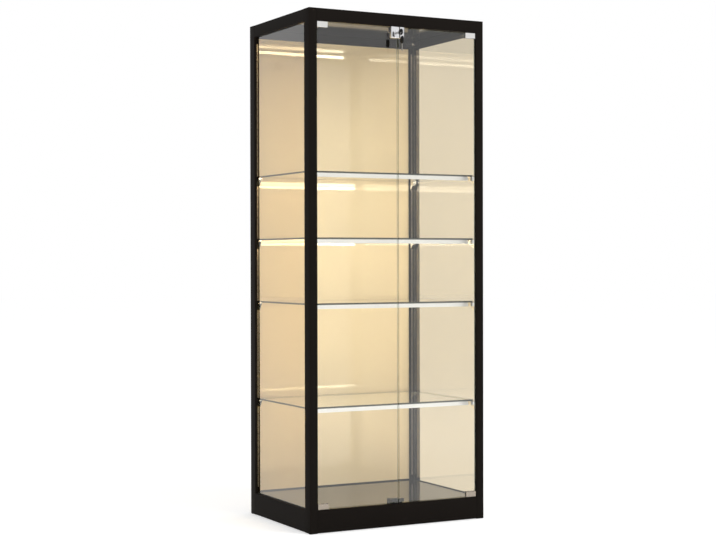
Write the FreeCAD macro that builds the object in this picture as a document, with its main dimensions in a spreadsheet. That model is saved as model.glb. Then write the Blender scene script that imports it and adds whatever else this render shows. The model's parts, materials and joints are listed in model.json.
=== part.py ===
"""A tall glass display cabinet for wine, with two pivoted glass doors.

The frame is black aluminium: four L-shaped posts, four top rails and four plinth rails.
Glass shelves with light channels under their front edges stand on clips in the posts.

X runs to the right, Y to the back and Z up. The origin is on the floor, under the middle.
"""
import FreeCAD
import Part
import Sketcher
import os

DRIVING_SIZES = [
    # The cabinet as a whole
    ("width", 700, "overall width"),
    ("depth", 500, "overall depth of the frame"),
    ("height", 1800, "overall height"),
    # Posts and rails
    ("post_width", 30, "post, across the front"),
    ("post_depth", 40, "post, along the side"),
    ("flange_depth", 16, "thickness of the front and rear frame, front to back"),
    ("side_flange", 10, "thickness of the side frame, across"),
    ("rail_height", 43, "top rails"),
    ("plinth_height", 80, "from the floor to the top of the plinth"),
    ("wall", 2, "wall of the hollow sections"),
    ("edge_break", 1.2, "flat on the outer edges of the frame"),
    ("lip_reach", 8, "lip of a rail under the top or floor panel"),
    ("lip_height", 3, "thickness of that lip"),
    ("fit", 0.3, "gap round a panel or a plug that is pushed in"),
    ("glide_height", 2, "plastic glide under a post"),
    ("glide_inset", 1, "from the edge of a post to its glide"),
    ("plug_height", 8, "part of a cap or a glide inside its post"),
    # Panels
    ("top_thick", 6, "top panel"),
    ("top_drop", 4, "top panel under the upper edge of the rails"),
    ("floor_thick", 12, "floor panel"),
    ("glass_thick", 5, "glass of the doors and the sides"),
    ("glass_lap", 8, "side glass behind its top rail"),
    ("seal_height", 2, "rubber strip under the side glass"),
    ("back_thick", 5, "back panel"),
    ("back_inset", 2, "from the rear of the frame to the back panel"),
    ("groove_depth", 8, "grooves for the back panel"),
    ("groove_play", 1, "from the back panel to the bottom of a groove"),
    # Corner brackets and screws
    ("bracket_thick", 3, "corner bracket"),
    ("bracket_reach", 20, "corner bracket past the post, on each rail"),
    ("bracket_gap", 1, "from a corner bracket to the lip or the glass"),
    ("low_bracket_height", 35, "corner bracket in the plinth"),
    ("low_bracket_drop", 5, "from the floor panel's lip to the bracket in the plinth"),
    ("screw_radius", 1.9, "frame screws"),
    ("screw_head_radius", 3.5, "head of a frame screw"),
    ("screw_head_height", 2, "head of a frame screw"),
    ("screw_play", 0.2, "round a screw in the piece that it holds"),
    # Shelves
    ("shelf_thick", 6, "glass shelf"),
    ("shelf_front", 45, "from the front of the frame to a shelf"),
    ("shelf_gap", 2, "from a shelf to the side glass"),
    ("shelf_rear_gap", 1, "from a shelf to the rear tracks"),
    ("first_shelf", 423, "underside of the lowest shelf"),
    ("second_shelf", 782, "underside of the second shelf"),
    ("third_shelf", 1010, "underside of the third shelf"),
    ("fourth_shelf", 1240, "underside of the highest shelf"),
    ("track_width", 6, "track that the clips hang on"),
    ("track_thick", 2, "track that the clips hang on"),
    ("track_end", 20, "from a track to the plinth and to the top rails"),
    ("track_inset", 5, "from the inner edge of a post to its track"),
    ("clip_width", 12, "shelf clip"),
    ("clip_thick", 3, "shelf clip, back plate"),
    ("clip_drop", 30, "shelf clip, height"),
    ("clip_nose", 4, "shelf clip, height at its tip"),
    ("clip_bearing", 24, "length of a clip under its shelf"),
    # Lights
    ("channel_depth", 12, "light channel, front to back"),
    ("channel_height", 14, "light channel"),
    ("channel_wall", 1.2, "wall of a light channel"),
    ("shelf_light_room", 8, "from a post to the light channel of a shelf"),
    ("top_light_room", 25, "from a corner bracket to the light channel at the top"),
    ("top_light_drop", 2, "from the top panel's lip to the top light"),
    ("strip_thick", 1.2, "light strip"),
    ("strip_height", 8, "light strip"),
    ("diffuser_thick", 1.5, "diffuser of a light channel"),
    ("cap_thick", 1, "end cap of a light channel"),
    ("driver_length", 150, "box of the light driver"),
    ("driver_width", 50, "box of the light driver"),
    ("driver_height", 24, "box of the light driver"),
    ("driver_back", 80, "from the rear of the frame to the light driver"),
    ("ear_length", 12, "fixing ear of the light driver"),
    ("ear_height", 4, "fixing ear of the light driver"),
    ("inlet_radius", 5.5, "power inlet"),
    ("inlet_flange_radius", 7.5, "flange of the power inlet"),
    ("inlet_flange_thick", 2, "flange of the power inlet"),
    ("inlet_length", 11, "power inlet"),
    ("inlet_bore_radius", 3, "bore of the power inlet"),
    ("inlet_bore_depth", 9, "bore of the power inlet"),
    ("inlet_pin_radius", 1, "pin of the power inlet"),
    ("inlet_side", 150, "from the middle of the cabinet to the power inlet"),
    ("inlet_rise", 33, "from the bottom of the plinth to the power inlet"),
    # Doors
    ("door_side_gap", 2.5, "from a door to its post"),
    ("door_mid_gap", 4, "between the doors"),
    ("door_end_gap", 4, "above and below a door"),
    ("pivot_inset", 12, "from the edge of a door to its pivot"),
    ("clamp_length", 40, "hinge clamp, along the door"),
    ("clamp_height", 20, "hinge clamp"),
    ("clamp_cheek", 2.5, "cheek of a hinge clamp"),
    ("clamp_web", 2.4, "hinge clamp over the edge of the glass"),
    ("clamp_break", 0.8, "flat on the edges of a hinge clamp"),
    ("pad_thick", 0.5, "rubber pad between a clamp and the glass"),
    ("set_screw_radius", 2, "set screw of a clamp"),
    ("set_screw_play", 0.05, "round a set screw"),
    ("pin_radius", 2.5, "pivot pin"),
    ("pin_reach", 6, "pivot pin inside its rail"),
    ("pin_play", 0.02, "round a pivot pin in its clamp"),
    ("running_play", 0.05, "round a piece that turns or slides"),
    ("bush_radius", 3.5, "pivot bush"),
    ("bush_length", 7, "pivot bush inside its rail"),
    ("bush_flange_radius", 5, "flange of a pivot bush"),
    ("bush_flange", 1, "flange of a pivot bush"),
    ("bush_play", 0.02, "round a pivot bush in its rail"),
    ("seat_gap", 0.3, "from a hinge clamp to its pivot bush"),
    # Lock
    ("lock_width", 31, "lock case on the left door"),
    ("keeper_width", 16, "keeper case on the right door"),
    ("lock_height", 40, "lock and keeper cases"),
    ("lock_gap", 1.3, "from the lock and keeper cases to the top rail"),
    ("lock_front_wall", 6.3, "lock case in front of the bolt"),
    ("lock_back_wall", 1.2, "lock case behind the bolt"),
    ("jaw_thick", 4, "jaw of the lock case behind the glass"),
    ("jaw_height", 20, "jaw of the lock case behind the glass"),
    ("lock_break", 1.5, "flat on the edges of the lock case"),
    ("plug_radius", 8, "lock plug"),
    ("plug_proud", 1, "lock plug in front of its case"),
    ("plug_side", 10, "from the edge of the lock case to the axis of the plug"),
    ("plug_rise", 17, "from the bottom of the lock case to the axis of the plug"),
    ("drive_offset", 4, "drive pin, beside and above the axis of the plug"),
    ("drive_radius", 1.25, "drive pin"),
    ("drive_play", 0.3, "round the drive pin in the bolt"),
    ("bolt_length", 26, "lock bolt"),
    ("bolt_thick", 4, "lock bolt"),
    ("bolt_below", 2, "lock bolt under the axis of the plug"),
    ("bolt_above", 10, "lock bolt above the axis of the plug"),
    ("bolt_play", 0.25, "round the bolt in its channel"),
    ("bolt_back", 0.2, "from the edge of the lock case to the bolt at rest"),
    ("keeper_room", 1.5, "from the thrown bolt to the bottom of the keeper"),
    ("keeper_play", 1.2, "more than in the channel: before, over and under the thrown bolt"),
    # Keys
    ("key_thick", 2.2, "blade of a key"),
    ("key_width", 7, "blade of a key"),
    ("key_insert", 5, "blade inside the plug"),
    ("key_shank", 15, "blade in front of the plug"),
    ("spare_blade", 24, "blade of the spare key"),
    ("keyway_play", 0.1, "round the blade in the plug"),
    ("bow_thick", 3, "bow of a key"),
    ("bow_length", 27, "bow of a key"),
    ("bow_width", 21, "bow of a key"),
    ("bow_corner", 6, "flat on the corners of a bow"),
    ("bow_hole_radius", 2.5, "hole in a bow"),
    ("bow_hole_edge", 4.5, "from the end of a bow to the middle of its hole"),
    ("ring_radius", 8, "key ring, to the middle of its wire"),
    ("ring_wire", 0.7, "radius of the wire of the key ring"),
    ("ring_play", 0.3, "from the wire to the edge of a hole"),
    # Touch latch
    ("latch_width", 42, "latch housing"),
    ("latch_length", 37, "latch housing, front to back"),
    ("latch_height", 13, "latch housing"),
    ("latch_inset", 0.7, "from the edge of the floor panel to the latch"),
    ("plunger_radius", 3, "latch plunger"),
    ("plunger_length", 22, "latch plunger"),
    ("plunger_side", 13, "from the middle of the latch to a plunger"),
    ("plunger_travel", 3, "latch plunger"),
    ("plunger_room", 1, "behind a plunger that is pushed in"),
    ("strike_width", 20, "strike plate on a door"),
    ("strike_height", 12, "strike plate on a door"),
    ("strike_thick", 1, "strike plate on a door"),
    ("strike_side", 2, "from the edge of a door to its strike plate"),
    ("strike_rise", 0.5, "from the bottom of a door to its strike plate"),
    ("strike_gap", 0.3, "from a strike plate to its plunger"),
]


class Length:
    """A length in millimetres, with the expression on the sheet that gives it."""

    def __init__(self, value, text):
        self.value = float(value)
        self.text = text

    def __add__(self, other):
        other = length(other)
        return Length(self.value + other.value, f"({self.text} + {other.text})")

    def __sub__(self, other):
        other = length(other)
        return Length(self.value - other.value, f"({self.text} - {other.text})")

    def __mul__(self, factor):
        return Length(self.value * factor, f"({self.text} * {factor})")

    def __truediv__(self, divisor):
        return Length(self.value / divisor, f"({self.text} / {divisor})")

    def __neg__(self):
        return Length(-self.value, f"(-1 * {self.text})")

    def __radd__(self, other):
        return length(other) + self

    def __rsub__(self, other):
        return length(other) - self

    __rmul__ = __mul__


def length(size):
    """Give a plain number the form of a length."""
    return size if isinstance(size, Length) else Length(size, str(size))


class Sheet:
    """The spreadsheet of driving sizes, which are read as attributes."""

    def __init__(self, document):
        cells = document.addObject("Spreadsheet::Sheet", "Sizes")
        for row, (alias, number, meaning) in enumerate(DRIVING_SIZES, start=1):
            cells.set(f"A{row}", meaning)
            cells.set(f"B{row}", str(number))
            cells.setAlias(f"B{row}", alias)
            setattr(self, alias, Length(number, f"Sizes.{alias}"))


doc = FreeCAD.newDocument("DisplayCabinet")
size = Sheet(doc)
doc.recompute()

nodes = []

# Turns that lay the axis of a cylinder along X, Y or Z
TURNS = {
    "x": FreeCAD.Rotation(FreeCAD.Vector(0, 1, 0), 90),
    "y": FreeCAD.Rotation(FreeCAD.Vector(1, 0, 0), -90),
    "z": FreeCAD.Rotation(),
}
LEFT, RIGHT = -1, 1
FRONT, REAR = -1, 1
LOW, HIGH = -1, 1
SIDE_NAMES = {LEFT: "left", RIGHT: "right"}
END_NAMES = {FRONT: "front", REAR: "rear"}


def node(item, name):
    """Name a finished piece, which then gets a file of its own."""
    item.Label = name
    nodes.append(item)
    return item


def place(item, x, y, z, turn="z"):
    """Put a piece where the sheet says, with its axis along X, Y or Z."""
    item.Placement = FreeCAD.Placement(FreeCAD.Vector(), TURNS[turn])
    for axis, where in zip("xyz", (x, y, z)):
        item.setExpression(f"Placement.Base.{axis}", length(where).text)


def block(name, x, y, z):
    """Make a box between two bounds along each axis."""
    item = doc.addObject("Part::Box", name)
    for side, (low, high) in zip(("Length", "Width", "Height"), (x, y, z)):
        item.setExpression(side, (length(high) - low).text)
    place(item, x[0], y[0], z[0])
    return item


def rod(name, axis, radius, ends, centre):
    """Make a cylinder along one axis between two ends, about a centre in the other two."""
    item = doc.addObject("Part::Cylinder", name)
    item.setExpression("Radius", radius.text)
    item.setExpression("Height", (length(ends[1]) - ends[0]).text)
    where = list(centre)
    where.insert("xyz".index(axis), ends[0])
    place(item, *where, turn=axis)
    return item


def join(name, *items):
    """Make one solid of several that meet."""
    whole = doc.addObject("Part::MultiFuse", name)
    whole.Shapes = list(items)
    whole.Refine = True
    return whole


def cut(name, base, *tools):
    """Take one or more tools away from a piece."""
    result = doc.addObject("Part::Cut", name)
    result.Base = base
    result.Tool = tools[0] if len(tools) == 1 else join(name + "_tools", *tools)
    return result


def group(name, items):
    """Keep separate solids together under one name."""
    whole = doc.addObject("Part::Compound", name)
    whole.Links = list(items)
    return node(whole, name)


def draw(sketch, corners):
    """Draw a closed outline and tie each of its corners to the sheet."""
    first = sketch.GeometryCount
    points = [FreeCAD.Vector(length(u).value, length(v).value, 0) for u, v in corners]
    for start, end in zip(points, points[1:] + points[:1]):
        sketch.addGeometry(Part.LineSegment(start, end), False)
    for index, corner in enumerate(corners):
        line = first + index
        before = first + (index - 1) % len(corners)
        sketch.addConstraint(Sketcher.Constraint("Coincident", before, 2, line, 1))
        for kind, axis, where in zip(("DistanceX", "DistanceY"), (-2, -1), corner):
            if isinstance(where, Length):
                tie = Sketcher.Constraint(kind, -1, 1, line, 1, where.value)
                sketch.setExpression(f"Constraints[{sketch.addConstraint(tie)}]", where.text)
            else:
                sketch.addConstraint(Sketcher.Constraint("PointOnObject", line, 1, axis))


def extrusion(name, plane, loops, reach, origin):
    """Pad a section, its outline first and then any hollow, along the plane's axis."""
    body = doc.addObject("PartDesign::Body", name)
    sketch = body.newObject("Sketcher::SketchObject", name + "_section")
    plane_role = plane + "_Plane"
    support = next(item for item in body.Origin.OriginFeatures if item.Role == plane_role)
    sketch.AttachmentSupport = (support, [""])
    sketch.MapMode = "FlatFace"
    for loop in loops:
        draw(sketch, loop)
    pad = body.newObject("PartDesign::Pad", name + "_pad")
    pad.Profile = sketch
    pad.setExpression("Length", reach.text)
    # A section on the XZ plane looks along -Y, and every pad here runs along +X, +Y or +Z
    pad.Reversed = plane == "XZ"
    place(body, *origin)
    return body


def rectangle(u, v):
    """Give the corners of a rectangle between bounds."""
    return [(u[0], v[0]), (u[1], v[0]), (u[1], v[1]), (u[0], v[1])]


def opposite(where, span):
    """Measure a coordinate from the other end of its span."""
    if not isinstance(where, Length):
        return span
    return 0 if where.text == span.text else span - where


def mirror_u(corners, span):
    """Turn an outline round within its span along u."""
    return [(opposite(u, span), v) for u, v in corners]


def mirror_v(corners, span):
    """Turn an outline round within its span along v."""
    return [(u, opposite(v, span)) for u, v in corners]


def outward(side, inner, outer):
    """Order two distances from the middle as bounds on the left or the right."""
    return (-outer, -inner) if side < 0 else (inner, outer)


# Where the main faces are, from the middle of the cabinet and from the floor
half_width = size.width / 2
half_depth = size.depth / 2
post_face = half_width - size.post_width
frame_face = half_depth - size.flange_depth
side_face = half_width - size.side_flange
side_rail_end = half_depth - size.post_depth
frame_bottom = size.glide_height
rail_bottom = size.height - size.rail_height
top_panel_top = size.height - size.top_drop
top_panel_bottom = top_panel_top - size.top_thick
floor_bottom = size.plinth_height - size.floor_thick
glass_face = side_face - size.glass_thick
side_glass_top = rail_bottom + size.glass_lap
back_rear = half_depth - size.back_inset
back_front = back_rear - size.back_thick
shelf_heights = [size.first_shelf, size.second_shelf, size.third_shelf, size.fourth_shelf]


def make_posts():
    """Make the four corner posts, their top caps and their glides."""
    groove = (size.back_inset - size.fit, size.back_inset + size.back_thick + size.fit)
    groove_bottom = size.post_width - size.groove_depth
    caps = []
    glides = []
    for side in (LEFT, RIGHT):
        for end in (FRONT, REAR):
            name = f"{END_NAMES[end]}_{SIDE_NAMES[side]}_post"
            inner_edge = [(size.post_width, size.edge_break), (size.post_width, size.flange_depth)]
            hollow_edge = size.post_width - size.wall
            if end == REAR:
                inner_edge[1:1] = [
                    (size.post_width, groove[0]),
                    (groove_bottom, groove[0]),
                    (groove_bottom, groove[1]),
                    (size.post_width, groove[1]),
                ]
                hollow_edge = groove_bottom - size.wall
            outline = [
                (0, size.edge_break),
                (size.edge_break, 0),
                (size.post_width - size.edge_break, 0),
                *inner_edge,
                (size.side_flange, size.flange_depth),
                (size.side_flange, size.post_depth),
                (0, size.post_depth),
            ]

            def hollow(play):
                """Give the outline of the hollow, or of a plug with some play in it."""
                near = size.wall + play
                return [
                    (near, near),
                    (hollow_edge - play, near),
                    (hollow_edge - play, size.flange_depth - near),
                    (size.side_flange - near, size.flange_depth - near),
                    (size.side_flange - near, size.post_depth - near),
                    (near, size.post_depth - near),
                ]

            def turned(corners):
                """Turn an outline round for its corner of the cabinet."""
                corners = mirror_u(corners, size.post_width) if side == RIGHT else corners
                return mirror_v(corners, size.post_depth) if end == REAR else corners

            x = -half_width if side == LEFT else post_face
            y = -half_depth if end == FRONT else side_rail_end
            loops = [turned(outline), turned(hollow(0))]
            post_length = size.height - frame_bottom
            node(extrusion(name, "XY", loops, post_length, (x, y, frame_bottom)), name)
            plug = [turned(hollow(size.running_play))]
            origin = (x, y, size.height - size.plug_height)
            caps.append(extrusion(name + "_cap", "XY", plug, size.plug_height, origin))
            pad_x = outward(side, post_face + size.glide_inset, half_width - size.glide_inset)
            pad_y = outward(end, frame_face + size.glide_inset, half_depth - size.glide_inset)
            pad = block(name + "_glide_pad", pad_x, pad_y, (0, frame_bottom))
            stem = extrusion(name + "_glide_stem", "XY", plug, size.plug_height, (x, y, frame_bottom))
            glides.append(join(name + "_glide", pad, stem))
    group("post_caps", caps)
    group("glides", glides)


def rail_section(height, lip_bottom, thick, groove_at=None):
    """Give the section of a rail: its outline with a lip inside, and its hollow.

    The outer face is at u = 0. A groove for the back panel is cut in the lower or upper side.
    """
    lip_top = lip_bottom + size.lip_height
    tip = thick + size.lip_reach
    low = [(size.edge_break, 0), (thick, 0)]
    high = [(thick, height), (size.edge_break, height)]
    hollow_low = size.wall
    hollow_high = height - size.wall
    groove = (size.back_inset - size.fit, size.back_inset + size.back_thick + size.fit)
    if groove_at == LOW:
        low[1:1] = [
            (groove[0], 0),
            (groove[0], size.groove_depth),
            (groove[1], size.groove_depth),
            (groove[1], 0),
        ]
        hollow_low = size.groove_depth + size.wall
    if groove_at == HIGH:
        high[1:1] = [
            (groove[1], height),
            (groove[1], height - size.groove_depth),
            (groove[0], height - size.groove_depth),
            (groove[0], height),
        ]
        hollow_high = height - size.groove_depth - size.wall
    outline = [
        *low,
        (thick, lip_bottom),
        (tip, lip_bottom),
        (tip, lip_top),
        (thick, lip_top),
        *high,
        (0, height - size.edge_break),
        (0, size.edge_break),
    ]
    hollow = rectangle((size.wall, thick - size.wall), (hollow_low, hollow_high))
    return [outline, hollow]


def make_rail(name, side, end, section, thick, bottom):
    """Make one rail of a section, across the front or rear or along a side."""
    span = thick + size.lip_reach
    if side is None:
        loops = section if end == FRONT else [mirror_u(loop, span) for loop in section]
        y = -half_depth if end == FRONT else half_depth - span
        return extrusion(name, "YZ", loops, post_face * 2, (-post_face, y, bottom))
    loops = section if side == LEFT else [mirror_u(loop, span) for loop in section]
    x = -half_width if side == LEFT else half_width - span
    return extrusion(name, "XZ", loops, side_rail_end * 2, (x, -side_rail_end, bottom))


def pivot_places():
    """List the side, the end and the X of the four door pivots."""
    pivot = post_face - size.door_side_gap - size.pivot_inset
    return [(side, end, pivot * side) for side in (LEFT, RIGHT) for end in (LOW, HIGH)]


def make_rails():
    """Make the top rails and the plinth, with holes for the pivot bushes and the inlet."""
    top_lip = top_panel_bottom - size.lip_height - rail_bottom
    plinth = size.plinth_height - frame_bottom
    plinth_lip = floor_bottom - size.lip_height - frame_bottom
    kinds = {
        "top_rail": (size.rail_height, top_lip, rail_bottom, HIGH, LOW),
        "plinth": (plinth, plinth_lip, frame_bottom, LOW, HIGH),
    }
    for kind, (height, lip, bottom, level, groove) in kinds.items():
        for side in (LEFT, RIGHT):
            name = f"{SIDE_NAMES[side]}_{kind}"
            section = rail_section(height, lip, size.side_flange)
            node(make_rail(name, side, None, section, size.side_flange, bottom), name)
        front = make_rail(
            f"front_{kind}_bar", None, FRONT, rail_section(height, lip, size.flange_depth),
            size.flange_depth, bottom,
        )
        # The bush holes go through the wall that faces the doors
        face = rail_bottom if level == HIGH else size.plinth_height
        hole_radius = size.bush_radius + size.bush_play
        wall = (face, face + size.wall) if level == HIGH else (face - size.wall, face)
        holes = [
            rod(f"front_{kind}_hole_{SIDE_NAMES[side]}", "z", hole_radius, wall, (x, door_middle))
            for side, end, x in pivot_places()
            if end == level
        ]
        node(cut(f"front_{kind}", front, *holes), f"front_{kind}")
        rear = make_rail(
            f"rear_{kind}_bar", None, REAR, rail_section(height, lip, size.flange_depth, groove),
            size.flange_depth, bottom,
        )
        if kind == "plinth":
            hole = rod(
                "inlet_hole", "y", size.inlet_radius + size.running_play,
                (half_depth - size.wall, half_depth), (inlet_x, inlet_z),
            )
            rear = cut("rear_plinth", rear, hole)
        node(rear, f"rear_{kind}")


# Where the doors, the lock and the inlet are
door_middle = -half_depth + size.flange_depth / 2
door_front = door_middle - size.glass_thick / 2
door_rear = door_middle + size.glass_thick / 2
door_bottom = size.plinth_height + size.door_end_gap
door_top = rail_bottom - size.door_end_gap
door_outer = post_face - size.door_side_gap
door_inner = size.door_mid_gap / 2
inlet_x = -size.inlet_side
inlet_z = frame_bottom + size.inlet_rise


def make_panels():
    """Make the top, the floor, the back and the two glass sides with their seals."""
    inside_x = (-side_face + size.fit, side_face - size.fit)
    inside_y = (-frame_face + size.fit, frame_face - size.fit)
    node(block("top_panel", inside_x, inside_y, (top_panel_bottom, top_panel_top)), "top_panel")
    node(block("floor_panel", inside_x, inside_y, (floor_bottom, size.plinth_height)), "floor_panel")
    insert = size.groove_depth - size.groove_play
    back_x = post_face + insert
    back_z = (size.plinth_height - insert, rail_bottom + insert)
    node(block("back_panel", (-back_x, back_x), (back_front, back_rear), back_z), "back_panel")
    seal_top = size.plinth_height + size.seal_height
    seals = []
    for side in (LEFT, RIGHT):
        name = f"{SIDE_NAMES[side]}_side_glass"
        across = outward(side, glass_face, side_face)
        node(block(name, across, inside_y, (seal_top, side_glass_top)), name)
        seal_x = outward(side, glass_face, side_face - size.fit)
        seals.append(block(name + "_seal", seal_x, inside_y, (size.plinth_height, seal_top)))
    group("side_glass_seals", seals)


def frame_screw(name, axis, seat, inward, centre, grip):
    """Make a screw that stands on a seat, with its head on the inner side."""
    head_ends = [seat, seat + size.screw_head_height * inward][::inward]
    shank_ends = [seat - grip * inward, seat][::inward]
    head = rod(name + "_head", axis, size.screw_head_radius, head_ends, centre)
    shank = rod(name + "_shank", axis, size.screw_radius, shank_ends, centre)
    return join(name, head, shank)


def make_brackets():
    """Make the corner brackets in the plinth and the top, and list their screws."""
    low_top = floor_bottom - size.lip_height - size.low_bracket_drop
    levels = {
        "low": (low_top - size.low_bracket_height, low_top),
        "top": (side_glass_top + size.bracket_gap, top_panel_bottom - size.lip_height - size.bracket_gap),
    }
    brackets = []
    screws = []
    thick = size.bracket_thick
    grip = thick + size.wall
    hole_radius = size.screw_radius + size.screw_play
    rail_screw_x = post_face - size.bracket_reach / 2
    post_screw_x = (post_face + side_face - thick) / 2
    rail_screw_y = side_rail_end - size.bracket_reach / 2
    post_screw_y = (side_rail_end + frame_face - thick) / 2
    for level, (bottom, top) in levels.items():
        middle = (bottom + top) / 2
        for side in (LEFT, RIGHT):
            for end in (FRONT, REAR):
                name = f"{level}_{END_NAMES[end]}_{SIDE_NAMES[side]}_bracket"
                across = block(
                    name + "_across", outward(side, post_face - size.bracket_reach, side_face),
                    outward(end, frame_face - thick, frame_face), (bottom, top),
                )
                along = block(
                    name + "_along", outward(side, side_face - thick, side_face),
                    outward(end, side_rail_end - size.bracket_reach, frame_face), (bottom, top),
                )
                holes = []
                for index, x in enumerate((rail_screw_x, post_screw_x)):
                    seat = (frame_face - thick) * end
                    centre = (x * side, middle)
                    depth = outward(end, frame_face - thick, frame_face)
                    holes.append(rod(f"{name}_hole_{index}", "y", hole_radius, depth, centre))
                    screws.append(frame_screw(f"{name}_screw_{index}", "y", seat, -end, centre, grip))
                for index, y in enumerate((rail_screw_y, post_screw_y), start=2):
                    seat = (side_face - thick) * side
                    centre = (y * end, middle)
                    depth = outward(side, side_face - thick, side_face)
                    holes.append(rod(f"{name}_hole_{index}", "x", hole_radius, depth, centre))
                    screws.append(frame_screw(f"{name}_screw_{index}", "x", seat, -side, centre, grip))
                brackets.append(cut(name, join(name + "_plates", across, along), *holes))
    group("corner_brackets", brackets)
    return screws


def make_shelves():
    """Make the shelves, the tracks in the posts and the clips that carry the shelves."""
    track_x = (post_face + size.track_inset, post_face + size.track_inset + size.track_width)
    track_y = (frame_face - size.track_thick, frame_face)
    track_z = (size.plinth_height + size.track_end, rail_bottom - size.track_end)
    clip_middle = (track_x[0] + track_x[1]) / 2
    clip_left = clip_middle - size.clip_width / 2
    plate = track_y[0]
    shelf_x = glass_face - size.shelf_gap
    shelf_y = (-half_depth + size.shelf_front, track_y[0] - size.shelf_rear_gap)
    reaches = {
        FRONT: plate + shelf_y[0] + size.clip_bearing,
        REAR: size.shelf_rear_gap + size.clip_bearing,
    }
    tracks = []
    clips = []
    for side in (LEFT, RIGHT):
        for end in (FRONT, REAR):
            name = f"{END_NAMES[end]}_{SIDE_NAMES[side]}_track"
            tracks.append(block(name, outward(side, *track_x), outward(end, *track_y), track_z))
            reach = reaches[end]
            outline = [
                (0, 0),
                (size.clip_thick, 0),
                (reach, size.clip_drop - size.clip_nose),
                (reach, size.clip_drop),
                (0, size.clip_drop),
            ]
            outline = outline if end == FRONT else mirror_u(outline, reach)
            x = clip_left if side == RIGHT else -clip_left - size.clip_width
            y = -plate if end == FRONT else plate - reach
            for number, height in enumerate(shelf_heights, start=1):
                clip = f"{END_NAMES[end]}_{SIDE_NAMES[side]}_clip_{number}"
                origin = (x, y, height - size.clip_drop)
                clips.append(extrusion(clip, "YZ", [outline], size.clip_width, origin))
    for number, height in enumerate(shelf_heights, start=1):
        name = f"shelf_{number}"
        node(block(name, (-shelf_x, shelf_x), shelf_y, (height, height + size.shelf_thick)), name)
    group("shelf_tracks", tracks)
    group("shelf_clips", clips)


def make_lights():
    """Make the light channels with their strips, diffusers and end caps."""
    wall = size.channel_wall
    section = [
        (0, 0),
        (size.channel_depth, 0),
        (size.channel_depth, wall),
        (wall, wall),
        (wall, size.channel_height - wall),
        (size.channel_depth, size.channel_height - wall),
        (size.channel_depth, size.channel_height),
        (0, size.channel_height),
    ]
    shelf_edge = -half_depth + size.shelf_front
    shelf_half = post_face - size.shelf_light_room
    top_half = post_face - size.bracket_reach - size.top_light_room
    places = [
        (f"shelf_light_{number}", shelf_half, shelf_edge, height)
        for number, height in enumerate(shelf_heights, start=1)
    ]
    top = top_panel_bottom - size.lip_height - size.top_light_drop
    places.append(("top_light", top_half, -frame_face, top))
    channels = []
    strips = []
    diffusers = []
    caps = []
    for name, half, y, ceiling in places:
        bottom = ceiling - size.channel_height
        middle = ceiling - size.channel_height / 2
        channels.append(extrusion(name + "_channel", "YZ", [section], half * 2, (-half, y, bottom)))
        strip_z = (middle - size.strip_height / 2, middle + size.strip_height / 2)
        strip_y = (y + wall, y + wall + size.strip_thick)
        strips.append(block(name + "_strip", (-half, half), strip_y, strip_z))
        rear = y + size.channel_depth
        diffuser_z = (bottom + wall, ceiling - wall)
        diffuser_y = (rear - size.diffuser_thick, rear)
        diffusers.append(block(name + "_diffuser", (-half, half), diffuser_y, diffuser_z))
        for side in (LEFT, RIGHT):
            ends = outward(side, half, half + size.cap_thick)
            cap = f"{name}_{SIDE_NAMES[side]}_cap"
            caps.append(block(cap, ends, (y, rear), (bottom, ceiling)))
    group("shelf_light_channels", channels[:-1])
    node(channels[-1], "top_light_channel")
    group("light_strips", strips)
    group("light_diffusers", diffusers)
    group("light_end_caps", caps)


def make_power():
    """Make the light driver under the floor and the power inlet, and list the driver's screws."""
    half = size.driver_length / 2
    y = (half_depth - size.driver_back - size.driver_width, half_depth - size.driver_back)
    box = block("driver_box", (-half, half), y, (floor_bottom - size.driver_height, floor_bottom))
    ear = half + size.ear_length
    ears = block("driver_ears", (-ear, ear), y, (floor_bottom - size.ear_height, floor_bottom))
    holes = []
    screws = []
    for side in (LEFT, RIGHT):
        centre = ((half + size.ear_length / 2) * side, (y[0] + y[1]) / 2)
        name = f"driver_{SIDE_NAMES[side]}"
        seat = floor_bottom - size.ear_height
        hole_radius = size.screw_radius + size.screw_play
        holes.append(rod(name + "_hole", "z", hole_radius, (seat, floor_bottom), centre))
        grip = size.ear_height + size.floor_thick / 2
        screws.append(frame_screw(name + "_screw", "z", seat, -1, centre, grip))
    node(cut("light_driver", join("driver_case", box, ears), *holes), "light_driver")
    centre = (inlet_x, inlet_z)
    barrel_y = (half_depth - size.inlet_length, half_depth)
    flange_rear = half_depth - size.wall
    flange_y = (flange_rear - size.inlet_flange_thick, flange_rear)
    bore_y = (half_depth - size.inlet_bore_depth, half_depth)
    barrel = rod("inlet_barrel", "y", size.inlet_radius, barrel_y, centre)
    flange = rod("inlet_flange", "y", size.inlet_flange_radius, flange_y, centre)
    bore = rod("inlet_bore", "y", size.inlet_bore_radius, bore_y, centre)
    shell = cut("inlet_shell", join("inlet_body", barrel, flange), bore)
    pin_y = (bore_y[0], half_depth - size.wall)
    pin = rod("inlet_pin", "y", size.inlet_pin_radius, pin_y, centre)
    node(join("power_inlet", shell, pin), "power_inlet")
    return screws


def clamp_section(front, rear, height, rear_bottom, flat):
    """Give the section of a clamp that hangs over the upper edge of a pane."""
    slot = size.glass_thick + size.pad_thick * 2
    web = height - size.clamp_web
    whole = front + slot + rear
    return [
        (flat, 0),
        (front, 0),
        (front, web),
        (front + slot, web),
        (front + slot, rear_bottom),
        (whole, rear_bottom),
        (whole, height - flat),
        (whole - flat, height),
        (flat, height),
        (0, height - flat),
        (0, flat),
    ]


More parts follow.
